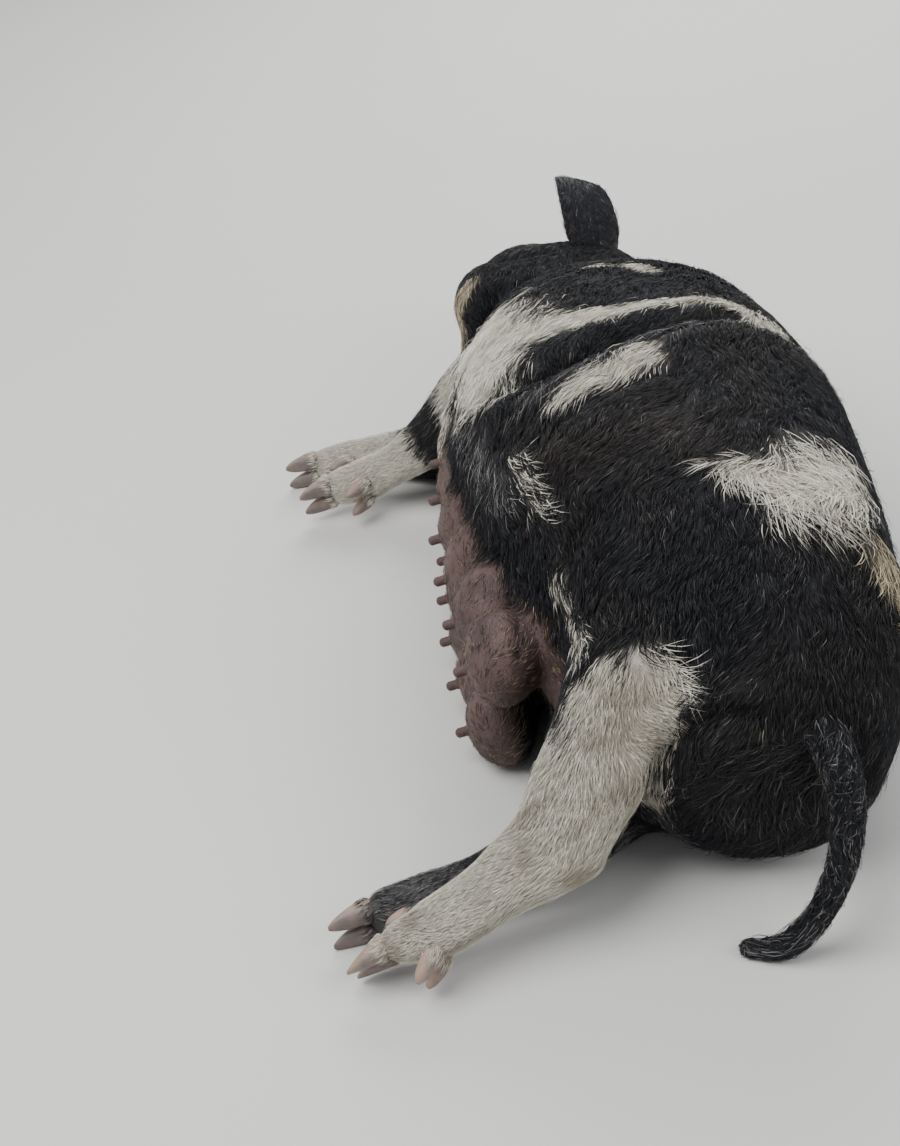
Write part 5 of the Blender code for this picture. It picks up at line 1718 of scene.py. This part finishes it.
def draw_together(places, roots, amount, spacing, rng):
    """Draws the outer ends of tufts towards those of a leader near each."""
    leaders = rng.choice(len(roots), max(1, len(roots) // spacing), replace=False)
    tree = KDTree(len(leaders))
    for i, leader in enumerate(leaders):
        tree.insert(roots[leader], i)
    tree.balance()
    found = [tree.find(root) for root in roots.tolist()]
    leader = leaders[[hit[1] for hit in found]]
    near = np.array([hit[2] for hit in found]) < 0.03
    last = len(places) - 1
    for k in range(1, last + 1):
        pull = amount * near * (k / last) ** 1.5
        places[k] = places[k] + (places[k][leader] - places[k]) * pull[:, None]


def tuft_mesh(name, groups):
    """One mesh of many tufts: each a root, rings of three points that lie flat, and a tip."""
    points, faces, colours, spots = [], [], [], []
    base = 0
    for places, ups, widths, tones, spot in groups:
        count, last = len(widths), len(places) - 1
        # Each tuft's tone is darkened at its root and lightened towards its tip: painted shade deep in the
        # coat and painted light on the tips.
        rows, shades, maps = [places[0][:, None]], [tones[:, None] * 0.80], [spot[:, None] - (0, PATCH)]
        for k in range(1, last):
            way = unit(places[k + 1] - places[k - 1])
            side = unit(np.cross(way, ups[k])) * (widths * (1.0, 0.86)[k - 1] / 2)[:, None]
            ridge = ups[k] * (widths * 0.42)[:, None]
            rows.append(np.stack([places[k] - side, places[k] + side, places[k] + ridge], axis=1))
            shades.append(np.repeat((tones * (0.96, 1.04)[k - 1])[:, None], 3, axis=1))
            level = PATCH * (2 * k / last - 1)
            maps.append(spot[:, None] + np.array([(-PATCH, level), (PATCH, level), (0, level)]))
        rows.append(places[last][:, None])
        shades.append(tones[:, None] * 1.10)
        maps.append(spot[:, None] + (0, PATCH))
        each = 3 * (last - 1) + 2
        pattern = []
        for k in range(last - 1):
            ring = [1 + 3 * k, 2 + 3 * k, 3 + 3 * k]
            for a, b in ((0, 1), (1, 2), (2, 0)):
                if k == 0:
                    pattern.append((0, ring[b], ring[a]))
                if k < last - 2:
                    pattern.append((ring[a], ring[b], ring[b] + 3))
                    pattern.append((ring[a], ring[b] + 3, ring[a] + 3))
                else:
                    pattern.append((ring[a], ring[b], each - 1))
        points.append(np.concatenate(rows, axis=1).reshape(-1, 3))
        colours.append(np.concatenate(shades, axis=1).reshape(-1, 3))
        spots.append(np.concatenate(maps, axis=1).reshape(-1, 2))
        starts = base + each * np.arange(count)
        faces.append((starts[:, None, None] + np.array(pattern)).reshape(-1, 3))
        base += each * count
    points, faces = np.concatenate(points), np.concatenate(faces)
    mesh = bpy.data.meshes.new(name)
    mesh.vertices.add(len(points))
    mesh.loops.add(faces.size)
    mesh.polygons.add(len(faces))
    points[:, 2] = np.maximum(points[:, 2], 0.0006)
    mesh.vertices.foreach_set("co", points.astype(np.float32).ravel())
    mesh.loops.foreach_set("vertex_index", faces.astype(np.int32).ravel())
    mesh.polygons.foreach_set("loop_start", np.arange(0, faces.size, 3, dtype=np.int32))
    mesh.update(calc_edges=True)
    mesh.shade_smooth()
    paint(mesh, np.clip(np.concatenate(colours), 0, 1))
    layer = mesh.uv_layers.new(name="OFBake")
    layer.data.foreach_set("uv", np.concatenate(spots)[faces.ravel()].astype(np.float32).ravel())
    obj = bpy.data.objects.new(name, mesh)
    bpy.context.scene.collection.objects.link(obj)
    return obj


def tuft_tones(points, shares, white_leg, tones, coat, rng):
    """The colour of each tuft: one tone, varied a little, and whether it is a fine grey hair."""
    count = len(points)
    grey_share = coat.grey * (0.4 + 1.6 * smooth(cloud(points, 0.07, 9), 0.3, 0.9))
    colour = np.tile(np.array(tones.black), (count, 1))
    warm = smooth(cloud(points, 0.11, 12), 0.45, 0.8)[:, None] * 0.45
    colour = colour * (1 + warm * np.array((1.0, 0.60, 0.1)))
    middle, reach, rise = SIDE_TINGE
    tinged = np.exp(-dot(points - middle, points - middle) / reach**2) * cloud(points, 0.05, 13)
    colour = colour * (1 + tinged[:, None] * np.array(rise))
    level = rng.random(count)
    pick = rng.random((6, count))
    fine = pick[0] < grey_share
    colour[fine] = np.array(tones.grey) * (0.3 + 1.1 * level[fine])[:, None]
    straw = pick[0] > 1 - STRAW_SHARE
    colour[straw] = np.array(tones.cream) * (0.3 + 0.5 * level[straw])[:, None]
    bare = pick[5] < 0.75 * udder_share(points)
    colour[bare] = np.array(tones.brown) * (0.3 + 0.9 * level[bare])[:, None]
    for word, index, share in (("grey", 1, 0.50), ("pale", 4, 0.60), ("white", 2, 1.0), ("cream", 3, 0.86)):
        chosen = pick[index] < shares[word] * share
        spread = level[chosen]
        if word in ("white", "pale"):
            light = 0.74 + 0.34 * spread if word == "white" else 0.42 + 0.6 * spread
            made = np.array(tones.white) * light[:, None]
            tinge = smooth(cloud(points[chosen], 0.025, 14), 0.45, 0.85) * (0.06 + 0.40 * white_leg[chosen])
            tinge = np.where(rng.random(len(tinge)) < 0.07, 0.50, tinge + 0.10 * white_leg[chosen])
            made = blend_in(made, np.array(tones.brown), tinge)
        elif word == "grey":
            made = np.array(tones.grey) * (0.7 + 2.4 * spread)[:, None]
        else:
            made = np.array(tones.cream) * (0.6 + 0.8 * spread)[:, None]
        colour[chosen] = made
        fine = fine | chosen if word == "grey" else fine & ~chosen
    return colour * np.exp(rng.normal(0, 0.13, count))[:, None], fine | straw


# The coat's pieces from rump to head, each up to a place along her, and all but the neck split in two.
BANDS = (
    ("rump", -0.300), ("flank", -0.120), ("barrel", 0.120),
    ("shoulder", 0.400), ("neck", 0.500), ("head", 9.0),
)


def region_of(points):
    """The name of the coat piece that each root belongs to."""
    region = np.full(len(points), "", dtype=object)
    for name, end in BANDS:
        own = (region == "") & (points[:, 1] < end)
        if name == "neck":
            region[own] = name
            continue
        if name == "head":
            region[own & (points[:, 2] > HEAD_PLACE.z)] = "head_left"
            region[own & (points[:, 2] <= HEAD_PLACE.z)] = "head_right"
            continue
        region[own & (points[:, 0] < 0)] = f"{name}_belly"
        region[own & (points[:, 0] >= 0)] = f"{name}_back"
    for name, leg in LEGS.items():
        region[leg_share(points, leg)[0] > 0.5] = name
    return region


def coat_density(points, slopes):
    """How densely the coat is set: more where it is short, less on the udder, none where she is bare."""
    length, _, _, _ = coat_at(points, slopes)
    density = (HAIR_LENGTH / length) ** 0.85
    density *= 1 + 0.75 * markings(points)[0]["white"]
    density *= 1 - 0.86 * udder_share(points)
    density *= smooth(points[:, 2], 0.002, 0.006)
    density *= 1 - smooth(forward_of(points), SNOUT_START - 0.016, SNOUT_START - 0.004)
    for side in (1, -1):
        away = np.linalg.norm(points - np.array(eye_frame(side)[0]), axis=1)
        density *= smooth(away, 0.0130, 0.0165)
    for leg in LEGS.values():
        ankle, down, _, _ = foot_frame(leg)
        ahead = (points - np.array(ankle)) @ np.array(down)
        close = np.linalg.norm(points - np.array(ankle), axis=1) < 0.11
        density *= 1 - close * smooth(ahead, CLAW_START + 0.006, CLAW_START + 0.014)
    return density


def grow(name, skin, roots, slopes, looks, colours, flat, coat, rng, spacing=14):
    """Tufts at the given roots as one mesh, short ones with one bend and long, curly ones with two."""
    groups = []
    spots = flat.spots_of(roots)
    long = (looks["length"] > LONG_FROM) & (np.abs(looks["curl"]) > 0.30)
    for stations, chosen in ((SHORT, ~long), (LONG, long)):
        if not chosen.any():
            continue
        own = {key: value[chosen] for key, value in looks.items()}
        places, ups = lay(skin, roots[chosen], slopes[chosen], own, stations)
        draw_together(places, roots[chosen], coat.clump * own["clump"], spacing, rng)
        groups.append((places, ups, own["width"], colours[chosen], spots[chosen]))
    return tuft_mesh(name, groups)


def vary(looks, roots, slopes, coat, rng):
    """Gives each tuft its own length, width, height and turn."""
    count = len(roots)
    looks["length"] = looks["length"] * rng.uniform(0.72, 1.22, count)
    grown = np.minimum(looks["length"] / HAIR_LENGTH, 1.0) ** 0.45
    looks["width"] = coat.width * grown * rng.uniform(0.65, 1.25, count)
    stray = rng.random(count) < 0.035
    looks["lift"] = looks["lift"] * rng.uniform(0.45, 1.15, count) * np.where(stray, 1.7, 1.0)
    looks["width"] = np.where(stray, 0.6, 1.0) * looks["width"]
    looks["clump"] = np.where(stray, 0.1, 1.0) * rng.uniform(0.5, 1.3, count)
    sway = (cloud(roots, 0.045, 21) - 0.5) * 2 * coat.sway * (0.5 + looks["curl"])
    turn = sway + rng.normal(0, 1, count) * coat.wander * (0.6 + looks["curl"])
    side = np.cross(slopes, looks["lie"])
    looks["lie"] = looks["lie"] * np.cos(turn)[:, None] + side * np.sin(turn)[:, None]
    bend = rng.choice((-1.0, 1.0), count) * 0.4 + np.sign(cloud(roots, 0.03, 22) - 0.5)
    looks["curl"] = looks["curl"] * bend * rng.uniform(0.3, 2.2, count)
    return looks


FLAT = {}


def laid_flat():
    """The map that all tufts share."""
    if not FLAT:
        names = ["skin", "tail_skin"] + [f"{name}_skin" for name in (*EARS, *TASSELS)]
        FLAT["map"] = Flat(names)
    return FLAT["map"]


class SOW_OT_coat(bpy.types.Operator):
    """The coat of the trunk, head and legs, region by region"""

    bl_idname = "sow.coat"
    bl_label = "Coat"

    def execute(self, context):
        _, coat, tones, _ = settings(context)
        rng = np.random.default_rng(coat.seed)
        skin = surface("skin")
        roots, slopes = skin.scatter(coat.tufts, coat_density, rng)
        length, curl, lift, lie = coat_at(roots, slopes)
        looks = vary({"length": length, "curl": curl, "lift": lift, "lie": lie}, roots, slopes, coat, rng)
        shares, white_leg = markings(roots)
        colours, fine = tuft_tones(roots, shares, white_leg, tones, coat, rng)
        legs = np.max([leg_share(roots, leg)[0] for leg in LEGS.values()], axis=0)
        thin = np.maximum(shares["white"], legs)
        looks["width"] = looks["width"] * np.where(fine, 0.55, 1.0 - 0.30 * thin)
        looks["clump"] = looks["clump"] * (1 - 0.6 * legs)
        region = region_of(roots)
        for word in sorted(set(region)):
            chosen = region == word
            own = {key: value[chosen] for key, value in looks.items()}
            piece = grow(
                f"coat_{word}", skin, roots[chosen], slopes[chosen], own, colours[chosen],
                laid_flat(), coat, rng,
            )
            finish_piece(piece, material("sow_coat", coat_finish), "dark_coat")
        return {"FINISHED"}


class SOW_OT_ear_hair(bpy.types.Operator):
    """Short hair on the ears' backs, longer in their roots, and pale hairs towards their tips"""

    bl_idname = "sow.ear_hair"
    bl_label = "Ear hair"

    def execute(self, context):
        _, coat, tones, _ = settings(context)
        rng = np.random.default_rng(coat.seed + 1)
        for name in EARS:
            skin = surface(f"{name}_skin")
            root, along, outer, back = (np.array(value) for value in ear_frame(name))
            roots, slopes = skin.scatter(
                EAR_HAIRS, lambda points, _: smooth((points - root) @ along, 0.0, 0.01) + 0.02, rng
            )
            count = len(roots)
            rise = (roots - root) @ along / EAR_LENGTH
            inner = dot(slopes, np.tile(-back, (count, 1)))
            inside = smooth(inner, 0.2, 0.7)
            lie = along + 0.35 * outer * ((roots - root) @ outer / 0.045)[:, None]
            looks = {
                "length": 0.011 + 0.016 * inside * smooth(0.55 - rise, 0, 0.3),
                "curl": np.full(count, 0.3),
                "lift": np.full(count, 0.0016) + 0.004 * inside,
                "lie": unit(lie - slopes * dot(lie, slopes)[:, None]),
            }
            looks = vary(looks, roots, slopes, coat, rng)
            looks["width"] = looks["width"] * 0.62
            rim = smooth(rise, 0.80, 0.96)
            pale = rng.random(count) < 0.03 + 0.70 * rim + 0.08 * inside
            dark = np.array(tones.black) * 1.5
            colours = np.where(pale[:, None], np.array(tones.grey) * 2.1, dark)
            colours = colours * np.exp(rng.normal(0, 0.3, count))[:, None]
            piece = grow(f"{name}_hair", skin, roots, slopes, looks, colours, laid_flat(), coat, rng)
            finish_piece(piece, material("sow_coat", coat_finish), "dark_coat")
        return {"FINISHED"}


class SOW_OT_tail_hair(bpy.types.Operator):
    """Long hair down the tail and its tuft, and the tassels' hair"""

    bl_idname = "sow.tail_hair"
    bl_label = "Tail and tassel hair"

    def execute(self, context):
        _, coat, tones, _ = settings(context)
        rng = np.random.default_rng(coat.seed + 2)
        path = spline(TAIL_PATH, 40)
        for name, count, reach in TAIL_HAIRS:
            skin = surface(f"{name}_skin")
            roots, slopes = skin.scatter(
                count, lambda points, _: smooth(points[:, 2], 0.001, 0.004) + 0.01, rng
            )
            if name == "tail":
                _, share, _ = off_path(roots, path)
                index = np.minimum((share * 39).astype(int), 38)
                ways = path[index + 1] - path[index]
                length = reach * (0.7 + 1.5 * smooth(share, 0.55, 0.85))
            else:
                ways = np.tile(np.array(tassel_way()), (count, 1))
                length = np.full(count, reach)
            looks = {
                "length": length,
                "curl": np.full(count, 0.7),
                "lift": np.full(count, 0.10 * reach + 0.0012),
                "lie": unit(ways - slopes * dot(ways, slopes)[:, None]),
            }
            looks = vary(looks, roots, slopes, coat, rng)
            colours = np.tile(np.array(tones.black), (count, 1))
            colours[rng.random(count) < 0.2] = np.array(tones.grey)
            colours = colours * np.exp(rng.normal(0, 0.3, count))[:, None]
            piece = grow(f"{name}_hair", skin, roots, slopes, looks, colours, laid_flat(), coat, rng)
            finish_piece(piece, material("sow_coat", coat_finish), "dark_coat")
        return {"FINISHED"}


class SOW_OT_coronets(bpy.types.Operator):
    """Short hair that hangs over the roots of the claws and dewclaws"""

    bl_idname = "sow.coronets"
    bl_label = "Coronets"

    def execute(self, context):
        _, coat, tones, _ = settings(context)
        rng = np.random.default_rng(coat.seed + 4)
        for name, leg in LEGS.items():
            for word, rings in horn_pieces(leg):
                ends = [np.mean(ring, axis=0) for _, ring in rings]
                way = ends[-1] - ends[0]
                far = np.linalg.norm(way)
                horn = surface(f"horn_{name}_{word}")

                def near_root(points, _, start=ends[0], ahead=way / far):
                    return smooth(CORONET - (points - start) @ ahead, 0, CORONET / 2) + TINY

                roots, slopes = horn.scatter(CORONET_HAIRS, near_root, rng)
                count = len(roots)
                lie = np.tile(way / far, (count, 1))
                looks = {
                    "length": np.full(count, CORONET_LENGTH),
                    "curl": np.full(count, 0.15),
                    "lift": np.full(count, 0.0016),
                    "lie": unit(lie - slopes * dot(lie, slopes)[:, None]),
                }
                looks = vary(looks, roots, slopes, coat, rng)
                looks["width"] = looks["width"] * 0.8
                shares, white_leg = markings(roots)
                colours, _ = tuft_tones(roots, shares, white_leg, tones, coat, rng)
                piece = grow(
                    f"coronet_{name}_{word}", horn, roots, slopes, looks, colours, laid_flat(), coat, rng
                )
                finish_piece(piece, material("sow_coat", coat_finish), "dark_coat")
        return {"FINISHED"}


class SOW_OT_lashes(bpy.types.Operator):
    """Pale, stiff lashes along both lids"""

    bl_idname = "sow.lashes"
    bl_label = "Lashes"

    def execute(self, context):
        _, coat, tones, _ = settings(context)
        rng = np.random.default_rng(coat.seed + 3)
        for side, word in ((1, "left"), (-1, "right")):
            _, forward, up, out = (np.array(value) for value in eye_frame(side))
            roots, ways, lengths = [], [], []
            for lid, count, reach, droop in (("upper", 46, 0.020, -0.45), ("lower", 22, 0.010, -0.8)):
                for a in rng.uniform(-0.88, 0.88, count):
                    roots.append(np.array(lid_place(side, lid, a, 1.0)))
                    ways.append(unit(out + 0.5 * a * forward + droop * up + rng.normal(0, 0.12, 3)))
                    lengths.append(reach * rng.uniform(0.7, 1.1))
            roots, ways, lengths = np.array(roots), np.array(ways), np.array(lengths)[:, None]
            ups = unit(np.cross(ways, np.tile(forward, (len(ways), 1))))
            places = [
                roots + ways * lengths * share + ups * 0.25 * lengths * share**2 for share in LASH_SHARES
            ]
            colours = np.tile(np.array(tones.grey) * 1.5, (len(roots), 1))
            spots = laid_flat().spots_of(roots)
            widths = np.full(len(roots), 0.0007)
            lashes = tuft_mesh(f"lashes_{word}", [(places, [ups] * 4, widths, colours, spots)])
            finish_piece(lashes, material("sow_coat", coat_finish), "dark_coat")
        return {"FINISHED"}


LIGHTS = (
    ("key", (-1.6, -0.9, 3.0), 2.6, "key"),
    ("fill", (2.4, -1.6, 2.2), 2.4, "fill"),
    ("rear", (0.6, 3.0, 2.4), 2.6, "key"),
)
LIGHT_AIM = (0.0, -0.05, 0.15)


class SOW_OT_studio(bpy.types.Operator):
    """The pale floor, the soft lights and the camera"""

    bl_idname = "sow.studio"
    bl_label = "Studio"

    def execute(self, context):
        studio = settings(context)[3]
        shape = bmesh.new()
        bmesh.ops.create_grid(shape, x_segments=2, y_segments=2, size=14.0)
        floor = mesh_object("studio_floor", shape)
        floor.data.materials.append(material("studio_floor", floor_finish, studio.floor))
        for name, place, size, power in LIGHTS:
            data = bpy.data.lights.new(f"light_{name}", "AREA")
            data.shape = "DISK"
            data.size = size
            data.energy = getattr(studio, power)
            light = bpy.data.objects.new(f"light_{name}", data)
            light.location = place
            aim = Vector(LIGHT_AIM) - Vector(place)
            light.rotation_euler = aim.to_track_quat("-Z", "Y").to_euler()
            context.scene.collection.objects.link(light)
        world = bpy.data.worlds.new("studio_sky")
        world.use_nodes = True
        sky = world.node_tree.nodes["Background"]
        sky.inputs["Color"].default_value = (0.92, 0.96, 1.0, 1.0)
        sky.inputs["Strength"].default_value = studio.sky
        context.scene.world = world
        data = bpy.data.cameras.new("camera")
        data.sensor_width = 36.0
        data.lens = studio.lens
        camera = bpy.data.objects.new("camera", data)
        camera.location = studio.place
        turned = Matrix.Rotation(math.pi / 2 - studio.pitch, 3, "X") @ Matrix.Rotation(-studio.roll, 3, "Z")
        camera.rotation_euler = turned.to_euler()
        context.scene.collection.objects.link(camera)
        context.scene.camera = camera
        return {"FINISHED"}


OPERATORS = (
    SOW_OT_skin, SOW_OT_teats, SOW_OT_snout, SOW_OT_eyes, SOW_OT_ears, SOW_OT_tassels, SOW_OT_tail,
    SOW_OT_claws, SOW_OT_coat, SOW_OT_ear_hair, SOW_OT_tail_hair, SOW_OT_coronets, SOW_OT_lashes,
    SOW_OT_studio,
)
GROUPS = {"sow_skin": SkinSizes, "sow_coat": CoatSizes, "sow_tones": Tones, "sow_studio": Studio}


class SOW_PT_panel(bpy.types.Panel):
    """The sow's settings and pieces"""

    bl_idname = "SOW_PT_panel"
    bl_label = "Kunekune Sow"
    bl_space_type = "VIEW_3D"
    bl_region_type = "UI"
    bl_category = "Sow"

    def draw(self, context):
        for name, group in GROUPS.items():
            box = self.layout.box()
            for key in group.__annotations__:
                box.prop(getattr(context.scene, name), key)
        for operator in OPERATORS:
            self.layout.operator(operator.bl_idname)


def register():
    """Registers the settings, the operators and the panel."""
    for name, group in GROUPS.items():
        bpy.utils.register_class(group)
        setattr(bpy.types.Scene, name, bpy.props.PointerProperty(type=group))
    for operator in OPERATORS:
        bpy.utils.register_class(operator)
    bpy.utils.register_class(SOW_PT_panel)


def unregister():
    """Takes them away again."""
    bpy.utils.unregister_class(SOW_PT_panel)
    for operator in reversed(OPERATORS):
        bpy.utils.unregister_class(operator)
    for name, group in GROUPS.items():
        delattr(bpy.types.Scene, name)
        bpy.utils.unregister_class(group)


def main():
    """Makes every piece in order."""
    register()
    for operator in OPERATORS:
        group, name = operator.bl_idname.split(".")
        getattr(getattr(bpy.ops, group), name)()


if __name__ == "__main__":
    main()
